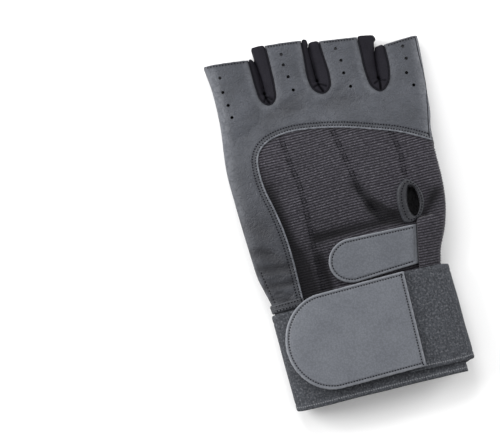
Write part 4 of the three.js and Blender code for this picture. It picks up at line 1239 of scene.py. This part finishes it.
FLAP = {"left": 36.6, "slant": 0.195, "from": -4.4, "low": -26.35, "high": -1.2, "rise": 2.9, "share": 0.97}
flap_shape = bmesh.new()
flap_groove_shade = flap_shape.verts.layers.float.new("painted_groove_shade")
flap_rows = math.floor((FLAP["high"] - FLAP["low"]) / KNIT_ROW_STEP)
bmesh.ops.create_grid(flap_shape, x_segments=14, y_segments=flap_rows, size=0.5)
for vertex in flap_shape.verts:
    u = vertex.co.x + 0.5
    j = round((vertex.co.y + 0.5) * flap_rows)
    y = FLAP["low"] + j * KNIT_ROW_STEP
    middle, half, _, _, _ = hand_row(y)
    left = FLAP["left"] + FLAP["slant"] * (y - FLAP["from"])
    x = left + (middle + half * FLAP["share"] - left) * u
    merge = (1 - u) ** 1.3 * min(1, (FLAP["high"] - y) / 4) ** 0.7
    rise = (FLAP["rise"] + KNIT_SINK + 0.3) * merge - KNIT_SINK - 0.3
    sway = 0.35 * math.sin(x * 0.11 + 1.3 * math.sin(y * 0.07)) * arch((x - middle) / half, 2)
    vertex[flap_groove_shade] = 0.5 - 0.5 * math.cos(2 * math.pi * j / 4)
    vertex.co = (x, y + sway, back_height(x, y, rise) + RIB_DEPTH * math.cos(2 * math.pi * j / 4))
knit_flap = keep_piece("knit_flap", flap_shape)
flap_wall = knit_flap.modifiers.new("wall", "SOLIDIFY")
flap_wall.thickness = 0.9
flap_wall.offset = -1
settle(knit_flap)
marked(knit_flap, "painted_shade_and_dark_tone", lambda x, y, z: 0.06)
into_frame(knit_flap, rib_knit, "rib_knit")

# The slit's binding: a leaf of dark leather, wide on the thumb's side and thin on the outer side,
# sewn round the opening over the knit.
SLIT_BINDING = [
    (36.6, 19), (31.5, 15.6), (29.5, 9.2), (29.5, 3), (30.6, -2.2), (34, -3.2), (36.4, -2), (39.6, -0.6),
    (42.9, 5.2), (42.8, 11), (40.2, 16.6),
]
BINDING_WALL = 1.2
binding_out = even_points(smooth_line(SLIT_BINDING, closed=True), 120, closed=True)
binding_in = even_points(slit_hole_line, 120, closed=True)


def nearest_start(line, point):
    """The closed line turned so that it starts beside the point."""
    first = min(range(len(line)), key=lambda i: math.dist(line[i], point))
    return line[first:] + line[:first]


binding_in = nearest_start(binding_in, binding_out[0])
binding_shape = bmesh.new()
BINDING_STEPS = 9
bmesh.ops.create_grid(binding_shape, x_segments=120, y_segments=BINDING_STEPS, size=0.5)
for vertex in binding_shape.verts:
    i = round((vertex.co.x + 0.5) * 120) % 120
    share = vertex.co.y + 0.5
    x = binding_out[i][0] + (binding_in[i][0] - binding_out[i][0]) * share
    y = binding_out[i][1] + (binding_in[i][1] - binding_out[i][1]) * share
    crown = (1 - abs(2 * share - 1) ** 3) ** (1 / 3)
    low = back_height(x, y, -KNIT_SINK) + knit_relief(x, y, 30, 0.6) * 0.5
    vertex.co = (x, y, low + 0.1 + (BINDING_WALL + SEAM_GAP + 0.2) * crown)
bmesh.ops.remove_doubles(binding_shape, verts=binding_shape.verts, dist=1e-4)
bmesh.ops.recalc_face_normals(binding_shape, faces=binding_shape.faces)
if sum(face.normal.z for face in binding_shape.faces) < 0:
    bmesh.ops.reverse_faces(binding_shape, faces=binding_shape.faces)
slit_binding = keep_piece("slit_binding", binding_shape)
binding_wall = slit_binding.modifiers.new("wall", "SOLIDIFY")
binding_wall.thickness = 0.9
binding_wall.offset = -1
settle(slit_binding)
binding_hem = line_distance(binding_out + binding_out[:1], 4)
marked(slit_binding, "painted_shade_and_dark_tone", lambda x, y, z: 0.8 - 0.25 * math.exp(-((binding_hem(x, y) / 0.7) ** 2)))
marked(slit_binding, "wear_and_sheen", lambda x, y, z: 0.3 * math.exp(-((binding_hem(x, y) / 0.4) ** 2)))
binding_tree = tree_of(slit_binding)
into_frame(slit_binding, dyed_leather, "dyed_leather", "slit_trim")
binding_row = [
    (a[0] + (b[0] - a[0]) * 0.45, a[1] + (b[1] - a[1]) * 0.45) for a, b in zip(binding_out, binding_in)
]
stitch_rows("binding_stitches", [(binding_tree, binding_row, False)], thread_finish, "dyed_leather")

# The strap that closes the slit: a tongue of smooth grey leather faced cloth, raw at its edge and
# sewn round 1.7 mm inside it. Its root goes under the knit's free edge.
TAB_WALL = 1.8
TAB_ROUND = 0.7
STRAP = {
    "left": -12.3, "end": 0, "high": -2.8, "low": -25.3,
    "right_high": (36.3, -4.4), "right_low": (32.5, -23.9),
}
TAB_LOOPS = (0, 0.1, 0.28, 0.55, 0.85, 1.2, 1.5, 1.7, 1.9, 2.25, 2.9)
TAB_ROOT, TAB_SIDE, TAB_BOW = 30, 40, 80


def tongue_line(tab, depth=0.0):
    """Plan outline of a tab, or of the smaller tab that lies inside it by a depth."""
    middle = (tab["high"] + tab["low"]) / 2
    half = (tab["high"] - tab["low"]) / 2 - depth
    reach = max(0.2, tab["end"] - tab["left"] - depth)
    root_middle = (tab["right_high"][1] + tab["right_low"][1]) / 2
    root_half = (tab["right_high"][1] - tab["right_low"][1]) / 2 * (1 - depth / (half + depth))
    high = Vector((tab["right_high"][0] - depth, root_middle + root_half))
    low = Vector((tab["right_low"][0] - depth, root_middle - root_half))
    free_high, free_low = Vector((tab["end"], middle + half)), Vector((tab["end"], middle - half))
    line = [low.lerp(high, k / TAB_ROOT) for k in range(TAB_ROOT)]
    line += [high.lerp(free_high, k / TAB_SIDE) for k in range(TAB_SIDE)]
    for k in range(TAB_BOW):
        swing = math.pi * (0.5 + k / TAB_BOW)
        line.append(Vector((tab["end"] + reach * math.cos(swing), middle + half * math.sin(swing))))
    line += [free_low.lerp(low, k / TAB_SIDE) for k in range(TAB_SIDE)]
    return [tuple(p) for p in line]


def tab_plate(name, tab, height_at, wall, fray):
    """A plate over a tab's outline, in loops that follow its edge and close on its middle line."""
    middle = (tab["high"] + tab["low"]) / 2
    half = (tab["high"] - tab["low"]) / 2
    depths = list(TAB_LOOPS) + [half * share for share in (0.3, 0.45, 0.6, 0.75, 0.9, 1)]
    loops = [tongue_line(tab, min(depth, 0.98 * half)) for depth in depths]
    count = len(loops[0])
    middle_start = tab["left"] + half
    middle_end = min(tab["right_high"][0], tab["right_low"][0]) - half
    for i, (x, y) in enumerate(loops[-1]):
        share = (min(max(x, middle_start), middle_end) - middle_start) / (middle_end - middle_start)
        loops[-1][i] = (middle_start + round(share * 12) / 12 * (middle_end - middle_start), middle)
    shape = bmesh.new()
    bmesh.ops.create_grid(shape, x_segments=count, y_segments=len(loops) - 1, size=0.5)
    for vertex in shape.verts:
        i = round((vertex.co.x + 0.5) * count) % count
        k = round((vertex.co.y + 0.5) * (len(loops) - 1))
        x, y = loops[k][i]
        if k == 0:
            x += fray * noise.noise(Vector((x * 1.7, y * 1.7, 3)))
            y += fray * noise.noise(Vector((x * 1.7, y * 1.7, 8)))
        edge = TAB_ROUND * (1 - math.sqrt(1 - max(0, 1 - depths[k] / TAB_ROUND) ** 2))
        row = 0.25 * math.exp(-(((depths[k] - 1.7) / 0.35) ** 2))
        vertex.co = (x, y, height_at(x, y) - edge - row)
    bmesh.ops.remove_doubles(shape, verts=shape.verts, dist=1e-4)
    bmesh.ops.recalc_face_normals(shape, faces=shape.faces)
    if sum(face.normal.z * face.calc_area() for face in shape.faces) < 0:
        bmesh.ops.reverse_faces(shape, faces=shape.faces)
    plate = keep_piece(name, shape)
    body = plate.modifiers.new("wall", "SOLIDIFY")
    body.thickness = wall
    body.offset = -1
    settle(plate)
    return plate, loops[0]


def tab_marks(plate, outline, rim, root=None):
    """Pale raw edge and pressed stitch line; a root that goes under another piece is in its shade."""
    away = line_distance(outline + outline[:1], 6)
    shaded = line_distance(root, 6) if root else lambda x, y: 6

    def tab_row_and_root_shade(x, y, z):
        row = 0.35 * math.exp(-(((away(x, y) - 1.7) / 0.5) ** 2)) * (shaded(x, y) > 3)
        return max(row, 0.75 * max(0, 1 - shaded(x, y) / 4.5) ** 2)

    marked(
        plate, "wear_and_sheen",
        lambda x, y, z: rim * math.exp(-((away(x, y) / 0.85) ** 4)) * (shaded(x, y) > 1.5),
    )
    marked(plate, "painted_shade_and_dark_tone", tab_row_and_root_shade)


def inset_line(outline, depth):
    """Plan line that runs inside a closed outline at a depth."""
    count = len(outline)
    turn = sum(a[0] * b[1] - b[0] * a[1] for a, b in zip(outline, outline[1:] + outline[:1]))
    side = 1 if turn > 0 else -1
    line = []
    for i in range(count):
        along = Vector(outline[(i + 1) % count]) - Vector(outline[i - 1])
        inward = Vector((-along.y, along.x)).normalized() * side
        line.append(tuple(Vector(outline[i]) + inward * depth))
    return line + line[:1]


tab_leather = leather_finish(
    "tab_leather", (0.097, 0.104, 0.121, 1), (0.117, 0.125, 0.143, 1), (0.25, 0.255, 0.275, 1), 0.16, 0.06
)
strap_plate, strap_outline = tab_plate(
    "closure_strap_face", STRAP, lambda x, y: back_height(x, y, SEAM_GAP + TAB_WALL), TAB_WALL, 0.16
)
tab_marks(strap_plate, strap_outline, 0.42, [STRAP["right_low"], STRAP["right_high"]])
strap_tree = tree_of(strap_plate)
into_frame(strap_plate, tab_leather, "tab_leather", "closure_strap")
strap_row = inset_line(strap_outline, 1.7)[TAB_ROOT + 3 : -4]
stitch_rows("strap_stitches", [(strap_tree, strap_row, False)], thread_finish, "tab_leather")

# The hem over the end of the leather strip beside the wrap: a narrow folded tape, sewn twice.
HEM = {"right": -29.8, "low": -29.7, "high": -25.2, "wall": 1.0, "floor": 9.6}
hem_shape = bmesh.new()
bmesh.ops.create_grid(hem_shape, x_segments=36, y_segments=16, size=0.5)
for vertex in hem_shape.verts:
    u = vertex.co.x + 0.5
    v = vertex.co.y + 0.5
    y = HEM["low"] + (HEM["high"] - HEM["low"]) * v
    middle, half, waist, _, top = hand_row(y)
    grow = SEAM_GAP + HEM["wall"]
    swing = math.asin(min(1, (HEM["floor"] - waist) / (top - waist)))
    start, end = -1 + 0.0006, (HEM["right"] - middle) / half
    share = start + (end - start) * (1 - (1 - u) ** 1.0) ** 2.2
    crown = 1 - abs(2 * v - 1) ** 6
    ridges = 0.1 * math.cos(2 * math.pi * v * 5)
    z = waist + (top - waist + grow) * arch(share, BACK_SQUARENESS)
    out = (half + grow - 0.5 + 0.5 * crown + ridges) * share
    vertex.co = (middle + out, y, max(HEM["floor"], z - 0.5 + 0.5 * crown + ridges))
cuff_hem = keep_piece("cuff_hem_tape", hem_shape)
hem_wall = cuff_hem.modifiers.new("wall", "SOLIDIFY")
hem_wall.thickness = 0.8
hem_wall.offset = -1
settle(cuff_hem)
marked(cuff_hem, "painted_shade_and_dark_tone", lambda x, y, z: 0.6)
hem_tree = tree_of(cuff_hem)
marked(cuff_hem, "wear_and_sheen", lambda x, y, z: 0.1)
into_frame(cuff_hem, dyed_leather, "dyed_leather", "cuff_hem")
hem_rows = [(hem_tree, [(-43.4, y), (-37, y), (-30.6, y)], False) for y in (-26.4, -28.6)]
stitch_rows("hem_stitches", hem_rows, thread_finish, "dyed_leather")

# The folded thumb: a flat tube under the palm, leather from its root to a slanting seam and
# ribbed knit from there to its open mouth. The ribs run beside the mouth.
THUMB_SEAM = ((-27.4, 42.4), (-5, 7.6))
THUMB_KNIT_DENTS = [{"ends": ((-9.6, 32.8), (-0.2, 52.2)), "reach": 1.1, "depth": 0.5}]
thumb_skin = thumb_body("thumb_skin", 0, 0)
softened(thumb_skin, 0.5, 3)
thumb_hollow = thumb_body("thumb_hollow", -1.5, MOUTH_RUN)


def thumb_give(x, y, z):
    soft = noise.noise(Vector((x, y, z)) * 0.12) * 0.4
    if z < 1.2:
        return x, y, z
    return x, y, z + soft


def thumb_side(name, knit):
    start, end = Vector(THUMB_SEAM[0]), Vector(THUMB_SEAM[1])
    along = (end - start).normalized()
    off = Vector((-along.y, along.x)) * (1 if knit else -1)
    corners = [
        start - along * 90 + off * 0.1, end + along * 90 + off * 0.1,
        end + along * 90 + off * 90, start - along * 90 + off * 90,
    ]
    return pattern_block(name, [tuple(c) for c in corners])


thumb_shell = copy_of(thumb_skin, "thumb_shell")
cut(thumb_shell, thumb_hollow)
thumb_hide = copy_of(thumb_shell, "thumb_hide")
cut(thumb_hide, thumb_side("thumb_leather_side", False), "INTERSECT")
cut(thumb_hide, pattern_block("thumb_hole", smooth_line(THUMB_HOLE, closed=True), 5, 60))
bpy.data.objects.remove(thumb_shell)
seam_away = line_distance(list(THUMB_SEAM), 6)
marked(thumb_hide, "painted_shade_and_dark_tone", lambda x, y, z: 0.35 * sewn_strip(seam_away(x, y)))
marked(thumb_hide, "wear_and_sheen", lambda x, y, z: 0.5 * math.exp(-((seam_away(x, y) / 0.7) ** 2)))
thumb_tree = tree_of(thumb_skin)
into_frame(thumb_hide, dyed_leather, "dyed_leather", "thumb_leather")

mouth_run = Vector((15.2 + 15.1, 43 - 62.5)).normalized()
cuff_shape = bmesh.new()
thumb_groove_shade = cuff_shape.verts.layers.float.new("painted_groove_shade")
THUMB_AROUND = 110
seam_dir = (Vector(THUMB_SEAM[1]) - Vector(THUMB_SEAM[0])).normalized()
thumb_rows = 100
bmesh.ops.create_grid(cuff_shape, x_segments=THUMB_AROUND, y_segments=thumb_rows, size=0.5)
thumb_ring = []
for k in range(60):
    thumb_ring.append((-math.cos(math.pi * k / 60), 1))
for k in range(60):
    thumb_ring.append((math.cos(math.pi * k / 60), -1))
seam_turns = {}


def turn_at_seam(share, side):
    """Where along the thumb its knit half starts at this place round it."""
    low, high = 2.0, 7.0
    for _ in range(24):
        turn = (low + high) / 2
        x, y, _, _ = thumb_point(turn, share, side, 0)
        rest = Vector((x, y)) - Vector(THUMB_SEAM[0])
        ahead = -seam_dir.y * rest.x + seam_dir.x * rest.y
        if ahead < 0.1:
            low = turn
        else:
            high = turn
    return (low + high) / 2


ring_shape = [(s, d * arch(s, THUMB_SQUARENESS) * 0.28) for s, d in thumb_ring]
even_share = even_points(ring_shape, THUMB_AROUND, True)
starts = [turn_at_seam(s, 1 if z >= 0 else -1) for s, z in even_share]
for vertex in cuff_shape.verts:
    i = round((vertex.co.x + 0.5) * THUMB_AROUND) % THUMB_AROUND
    j = round((vertex.co.y + 0.5) * thumb_rows)
    share, z_sign = even_share[i][0], 1 if even_share[i][1] >= 0 else -1
    turn = starts[i] + (7 - starts[i]) * j / thumb_rows
    x, y, z, ahead = thumb_point(turn, share, z_sign, 0)
    to_mouth = (Vector((15.2, 43)) - Vector((x, y))).dot(Vector((-mouth_run.y, mouth_run.x)))
    rib = 0.16 * math.cos(2 * math.pi * to_mouth / RIB_PITCH)
    vertex[thumb_groove_shade] = 0.5 - 0.5 * math.cos(2 * math.pi * to_mouth / RIB_PITCH)
    z = max(0, z) if z_sign < 0 else z
    crown = arch(share, 2)
    vertex.co = (x, y, max(0, z + z_sign * (rib * crown - 0.1)))
bmesh.ops.remove_doubles(cuff_shape, verts=cuff_shape.verts, dist=1e-4)
bmesh.ops.recalc_face_normals(cuff_shape, faces=cuff_shape.faces)
thumb_cuff = keep_piece("thumb_cuff", cuff_shape)
cuff_wall = thumb_cuff.modifiers.new("wall", "SOLIDIFY")
cuff_wall.thickness = 1.3
cuff_wall.offset = -1
settle(thumb_cuff)
marked(thumb_cuff, "painted_shade_and_dark_tone", lambda x, y, z: 0.3 * math.exp(-((seam_away(x, y) / 1) ** 2)))
cuff_tree = tree_of(thumb_cuff)
into_frame(thumb_cuff, rib_knit, "rib_knit", "thumb_knit")
cuff_rows = []
for side in (-0.8, 0.8):
    cuff_rows.append((cuff_tree, offset_line([(-14.6, 28.5), (-8.6, 38.6), (-1.6, 50.4)], side), True))
for back in (1.6, 3):
    hem = offset_line([(-13.6, 60.6), (0, 51.9), (13.6, 43.2)], back * -1)
    cuff_rows.append((cuff_tree, hem, True))
stitch_rows("thumb_cuff_stitches", cuff_rows, thread_finish, "rib_knit", (0.5, 0.36, 0.3), 1.6)
seam_row = offset_line([THUMB_SEAM[0], (-16.2, 25), THUMB_SEAM[1]], -1.6)
seam_rows = [(thumb_tree, offset_line(seam_row, -apart), True) for apart in (0, 1.7)]
stitch_rows("thumb_seam_stitches", seam_rows, thread_finish, "dyed_leather")

# The second layer of leather on the palm, sewn on over the hide with double rows.
PATCH = [
    (-2, 54.9), (18.8, 52.4), (37.5, 50.1), (53.5, 47.6), (51.6, 34), (48.4, 18), (46.6, -5.3),
    (32.7, -2.8), (18.1, -0.9), (10.4, 13.3), (5.2, 23.1),
]
PATCH_WALL = 1.4
patch_line = even_points(PATCH, 200, closed=True)
patch_shape = bmesh.new()
bmesh.ops.create_grid(patch_shape, x_segments=90, y_segments=90, size=32)
for vertex in patch_shape.verts:
    x, y = vertex.co.x + 26, vertex.co.y + 25
    vertex.co = (x, y, palm_height(x, y, SEAM_GAP + PATCH_WALL))
bmesh.ops.reverse_faces(patch_shape, faces=patch_shape.faces)
patch_plate = keep_piece("palm_patch_face", patch_shape)
patch_body = patch_plate.modifiers.new("wall", "SOLIDIFY")
patch_body.thickness = PATCH_WALL
patch_body.offset = -1
settle(patch_plate)
cut(patch_plate, pattern_block("patch_outline", patch_line), "INTERSECT")
cut(patch_plate, thumb_body("thumb_room", 2 * SEAM_GAP, 2 * SEAM_GAP))
patch_away = line_distance(patch_line + patch_line[:1], 6)


def patch_press(x, y, z):
    away = patch_away(x, y)
    edge = 0.6 * max(0, 1 - away / 0.9) ** 2
    strip = 0.25 * sewn_strip(away + 0.3)
    lower = z < palm_height(x, y, SEAM_GAP + 0.3)
    give = noise.noise(Vector((x, y, 0)) * 0.1) * 0.25
    return x, y, z + (edge + strip if lower else 0) + give


reshaped(patch_plate, patch_press)
marked(patch_plate, "painted_shade_and_dark_tone", lambda x, y, z: 0.3 * sewn_strip(patch_away(x, y)))
marked(patch_plate, "wear_and_sheen", lambda x, y, z: 0.4 * math.exp(-((patch_away(x, y) / 0.7) ** 2)))
patch_tree = tree_of(patch_plate)
into_frame(patch_plate, dyed_leather, "dyed_leather", "palm_patch")

# The sewing of the palm: double rows round the patch, the loop round the thumb's root with its
# pale welt, and three rows round each finger's mouth.
THUMB_LOOP = [
    (-42.4, 30.6), (-43.2, 14.6), (-43.4, 0.1), (-40.6, -8), (-33, -16.5), (-22, -21.4), (-14, -20.6),
    (-8.2, -16.2), (-4.4, -10.6), (2, -3.2),
]
palm_rows = []
for depth in (0.9, 2.5):
    palm_rows.append((patch_tree, inset_line(patch_line, depth), True))
loop_line = smooth_line(THUMB_LOOP)
for side in (-1.0, -2.4):
    palm_rows.append((palm_tree, offset_line(loop_line, side), True))
for row in mouth_rows:
    for back in (0.4, 2.6, 4.6):
        palm_rows.append((palm_tree, [(x, y - back) for x, y in row], True))
for at in (57.6, 56.2):
    palm_rows.append((palm_tree, [(-26 + k * 3, at + 1.6 - k * 0.35) for k in range(8)], True))
stitch_rows("palm_stitches", palm_rows, thread_finish, "dyed_leather")
loop_welt = piped("thumb_root_welt", laid_on(palm_tree, loop_line, -0.1, 1, True), 0.55)
marked(loop_welt, "wear_and_sheen", lambda x, y, z: 0.55)
marked(loop_welt, "painted_shade_and_dark_tone", lambda x, y, z: 0.0)
into_frame(loop_welt, dyed_leather, "dyed_leather")

# Three padded bars under the index finger: leather rolls filled with foam, sewn down between.
BAR_SCALE = 40
BAR_FRAMES = 16
BAR_CAP = 0.0009
for number in (1, 2, 3):
    node = "palm_bar_" + str(number)
    shape = bmesh.new()
    shape.from_mesh(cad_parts[node].data)
    bmesh.ops.remove_doubles(shape, verts=shape.verts, dist=1e-6)
    bmesh.ops.scale(shape, vec=(BAR_SCALE,) * 3, verts=shape.verts)
    roll = keep_piece("padded_bar_" + str(number), shape)
    softened(roll, 0.02, 2)
    rest = [v.co.copy() for v in roll.data.vertices]
    scene = bpy.context.scene
    pad = roll.modifiers.new("pad", "CLOTH")
    pad.settings.use_pressure = True
    pad.settings.uniform_pressure_force = 3
    pad.settings.effector_weights.gravity = 0
    pad.settings.quality = 4
    pad.point_cache.frame_end = BAR_FRAMES
    for at in range(1, BAR_FRAMES + 1):
        scene.frame_set(at)
    settle(roll)
    scene.frame_set(1)
    for vertex, was in zip(roll.data.vertices, rest):
        step_out = vertex.co - was
        if step_out.length > BAR_CAP * BAR_SCALE:
            step_out *= BAR_CAP * BAR_SCALE / step_out.length
        vertex.co = was + step_out
    roll.data.transform(Matrix.Scale(1 / BAR_SCALE, 4))
    roll.data.transform(TO_FRAME.inverted())
    # Painted shade in a band round 6 mm up each roll, where it meets the palm leather.
    marked(roll, "painted_shade_and_dark_tone", lambda x, y, z: 0.3 * math.exp(-(((z - 6) / 1.5) ** 2)))
    marked(roll, "wear_and_sheen", lambda x, y, z: 0.0)
    into_frame(roll, dyed_leather, "dyed_leather", node)

# The wrist wrap: two inch woven elastic, wound once and a quarter round the cuff.
# It climbs a little as it goes, so that the outer layer leaves the inner one showing below.
ELASTIC = 1.7
WRAP_WIDTH = 50.8
WRAP_RISE = 6.2
WRAP_TOP = -32.4
WRAP_START = math.acos(0.93)
WRAP_END = 2 * math.pi + math.acos(0.3)
WRAP_LIFT = (1.8 * math.pi, 2.03 * math.pi)
WRAP_TURNS, WRAP_ACROSS = 420, 76
PRESSED_ELASTIC = 1.5
SELVEDGE_ROW = 2.0
SELVEDGE_PITCH = 1.2
wrap_middle, wrap_half, wrap_waist, wrap_bottom, wrap_top = hand_row(-52)


def wrap_line(grow_at, count):
    """Places round the cuff from the inner end of the elastic to its outer end."""
    line = []
    for k in range(1601):
        swing = WRAP_START + (WRAP_END - WRAP_START) * k / 1600
        t = min(1, max(0, (swing - WRAP_LIFT[0]) / (WRAP_LIFT[1] - WRAP_LIFT[0])))
        grow = grow_at + (ELASTIC + SEAM_GAP) * t * t * (3 - 2 * t)
        share = math.cos(swing)
        above = math.sin(swing) > 0
        reach = (wrap_top - wrap_waist + grow) * arch(share, BACK_SQUARENESS if above else PALM_SQUARENESS)
        z = wrap_waist + (reach if above else -reach)
        line.append((wrap_middle + (wrap_half + grow) * share, max(0, z), k / 1600))
    return even_points(line, count)


wrap_places = wrap_line(SEAM_GAP + ELASTIC, WRAP_TURNS + 1)
wrap_shape = bmesh.new()
wrap_shape.loops.layers.uv.new("UVMap")
bmesh.ops.create_grid(
    wrap_shape, x_segments=WRAP_TURNS, y_segments=WRAP_ACROSS, size=0.5, calc_uvs=True
)
wrap_length = sum(math.dist(a[:2], b[:2]) for a, b in zip(wrap_places, wrap_places[1:]))
for vertex in wrap_shape.verts:
    i = round((vertex.co.x + 0.5) * WRAP_TURNS)
    v = vertex.co.y + 0.5
    x, z, turn = wrap_places[i]
    ahead, behind = wrap_places[min(i + 1, WRAP_TURNS)], wrap_places[max(i - 1, 0)]
    out = Vector((ahead[1] - behind[1], 0, behind[0] - ahead[0])).normalized()
    from_edge = min(v, 1 - v) * WRAP_WIDTH
    selvedge = 0.25 * math.exp(-(((from_edge - 4) / 0.5) ** 2)) + 0.35 * max(0, 1 - from_edge / 0.8) ** 2
    wave = 0.25 * noise.noise(Vector((i * 0.03, v * 3, 1)))
    y = WRAP_TOP + WRAP_RISE * turn - WRAP_WIDTH * v
    y += 0.35 * noise.noise(Vector((i * 0.025, 7 + 2 * round(v), 0))) * (abs(2 * v - 1) ** 4)
    fold = min(1, abs(x - wrap_middle) / (wrap_half + 2)) ** 44
    y += fold * (0.7 * v**12 - 0.4 * (1 - v) ** 12)
    vertex.co = Vector((x, y, max(0, z))) + out * (wave - selvedge - 0.12) * (1 if z > 1.2 else 0)
bmesh.ops.recalc_face_normals(wrap_shape, faces=wrap_shape.faces)
top_faces = [f for f in wrap_shape.faces if f.calc_center_median().z > 15]
if sum(f.normal.z for f in top_faces) < 0:
    bmesh.ops.reverse_faces(wrap_shape, faces=wrap_shape.faces)
wrist_wrap = keep_piece("wrist_wrap_elastic", wrap_shape)
wrap_wall = wrist_wrap.modifiers.new("wall", "SOLIDIFY")
wrap_wall.thickness = 1.4
wrap_wall.offset = -1
settle(wrist_wrap)
wrap_tree = tree_of(wrist_wrap)

woven_elastic, weave_tree, weave_shader = new_finish("woven_elastic", 0.8, 0.2)
weave_uv = step(weave_tree, "UVMap", {}, uv_map="UVMap").outputs["UV"]
weave_mm = step(
    weave_tree, "Mapping", {"Vector": weave_uv, "Scale": (wrap_length, WRAP_WIDTH, 1)}
).outputs["Vector"]
weave_ribs = step(weave_tree, "Mapping", {"Vector": weave_mm, "Scale": (1.3, 0.2, 1)}).outputs["Vector"]
weave_cell = step(weave_tree, "TexVoronoi", {"Vector": weave_mm, "Scale": 1.55, "Randomness": 0.3})
weave_fleck = step(weave_tree, "TexNoise", {"Vector": weave_mm, "Scale": 0.9, "Detail": 5}).outputs["Fac"]
weave_streak = step(weave_tree, "TexNoise", {"Vector": weave_ribs, "Scale": 1, "Detail": 2}).outputs["Fac"]
weave_tone = step(weave_tree, "SeparateColor", {"Color": weave_cell.outputs["Color"]}).outputs[0]
weave_tone = step(
    weave_tree, "Math", {0: weave_tone, 1: 0.45, 2: ranged(weave_tree, weave_streak, 0.3, 0.7, 0, 0.55)},
    operation="MULTIPLY_ADD",
).outputs[0]
weave_colour = mixed(weave_tree, weave_tone, (0.02, 0.022, 0.026, 1), (0.068, 0.073, 0.084, 1))
weave_colour = mixed(
    weave_tree, ranged(weave_tree, weave_fleck, 0.5, 0.74, 0, 0.75), weave_colour, (0.16, 0.165, 0.18, 1)
)
weave_colour = mixed(
    weave_tree, ranged(weave_tree, weave_cell.outputs["Distance"], 0.35, 0.75, 0, 0.7), weave_colour,
    (0.008, 0.008, 0.01, 1),
)
weave_split = step(weave_tree, "SeparateXYZ", {"Vector": weave_mm})
from_row = step(
    weave_tree, "Math", {0: weave_split.outputs["Y"], 1: WRAP_WIDTH - SELVEDGE_ROW}, operation="SUBTRACT"
).outputs[0]
from_row = step(weave_tree, "Math", {0: from_row}, operation="ABSOLUTE").outputs[0]
dots = step(
    weave_tree, "Math", {0: weave_split.outputs["X"], 1: 2 * math.pi / SELVEDGE_PITCH}, operation="MULTIPLY"
).outputs[0]
dots = step(weave_tree, "Math", {0: dots}, operation="SINE").outputs[0]
row_share = step(
    weave_tree, "Math",
    {0: ranged(weave_tree, from_row, 0, 0.45, 0.75, 0), 1: ranged(weave_tree, dots, -0.3, 0.5, 0.15, 1)},
    operation="MULTIPLY",
).outputs[0]
weave_colour = mixed(weave_tree, row_share, weave_colour, (0.24, 0.245, 0.26, 1))
weave_tree.links.new(weave_colour, weave_shader.inputs["Base Color"])
weave_bump = step(
    weave_tree, "Bump", {"Height": weave_cell.outputs["Distance"], "Distance": 0.0003, "Strength": 0.8},
    invert=True,
)
weave_tree.links.new(weave_bump.outputs["Normal"], weave_shader.inputs["Normal"])
into_frame(wrist_wrap, woven_elastic, "woven_elastic", "wrist_wrap")

# The wrap's closing tab: a large D of the same leather faced cloth as the strap, sewn to the
# elastic at its straight side, and the strip of hook tape under it that grips the layer below.
WRAP_TAB = {
    "left": -44.3, "end": -21.5, "high": -26, "low": -75.4,
    "right_high": (23.4, -26), "right_low": (22, -75.4),
}
HOOK = {
    "left": -40.8, "end": -21.5, "high": -33.5, "low": -71.9,
    "right_high": (9.5, -33.5), "right_low": (9.5, -71.9),
}
TAB_LIFT = 4.3


def cuff_height(x, grow):
    return back_height(x, -52, grow)


tab_face, tab_outline = tab_plate(
    "wrap_tab_face", WRAP_TAB, lambda x, y: cuff_height(x, TAB_LIFT + TAB_WALL), TAB_WALL, 0.22
)
tab_marks(tab_face, tab_outline, 0.42)
tab_tree = tree_of(tab_face)
into_frame(tab_face, tab_leather, "tab_leather", "wrap_tab")
tab_row = inset_line(tab_outline, 1.8)
stitch_rows("tab_stitches", [(tab_tree, tab_row, False)], thread_finish, "tab_leather")

hook_plate, hook_outline = tab_plate(
    "hook_strip", HOOK, lambda x, y: cuff_height(x, TAB_LIFT - SEAM_GAP), 1.6, 0
)
hook_tape, hook_tree, hook_shader = new_finish("hook_tape", 0.7, 0.3)
hook_place = step(hook_tree, "TexCoord", {}).outputs["Object"]
hooks = step(
    hook_tree, "TexVoronoi", {"Vector": hook_place, "Scale": 900, "Randomness": 0.3}
).outputs["Distance"]
hook_colour = mixed(
    hook_tree, ranged(hook_tree, hooks, 0, 0.6, 1, 0), (0.004, 0.004, 0.005, 1), (0.03, 0.03, 0.034, 1)
)
hook_tree.links.new(hook_colour, hook_shader.inputs["Base Color"])
hook_bump = step(hook_tree, "Bump", {"Height": hooks, "Distance": 0.0006, "Strength": 1.0}, invert=True)
hook_tree.links.new(hook_bump.outputs["Normal"], hook_shader.inputs["Normal"])
into_frame(hook_plate, hook_tape, "hook_tape", "hook_pad")

for tool in (skin, thumb_skin, knit_block, upper_block):
    bpy.data.objects.remove(tool)
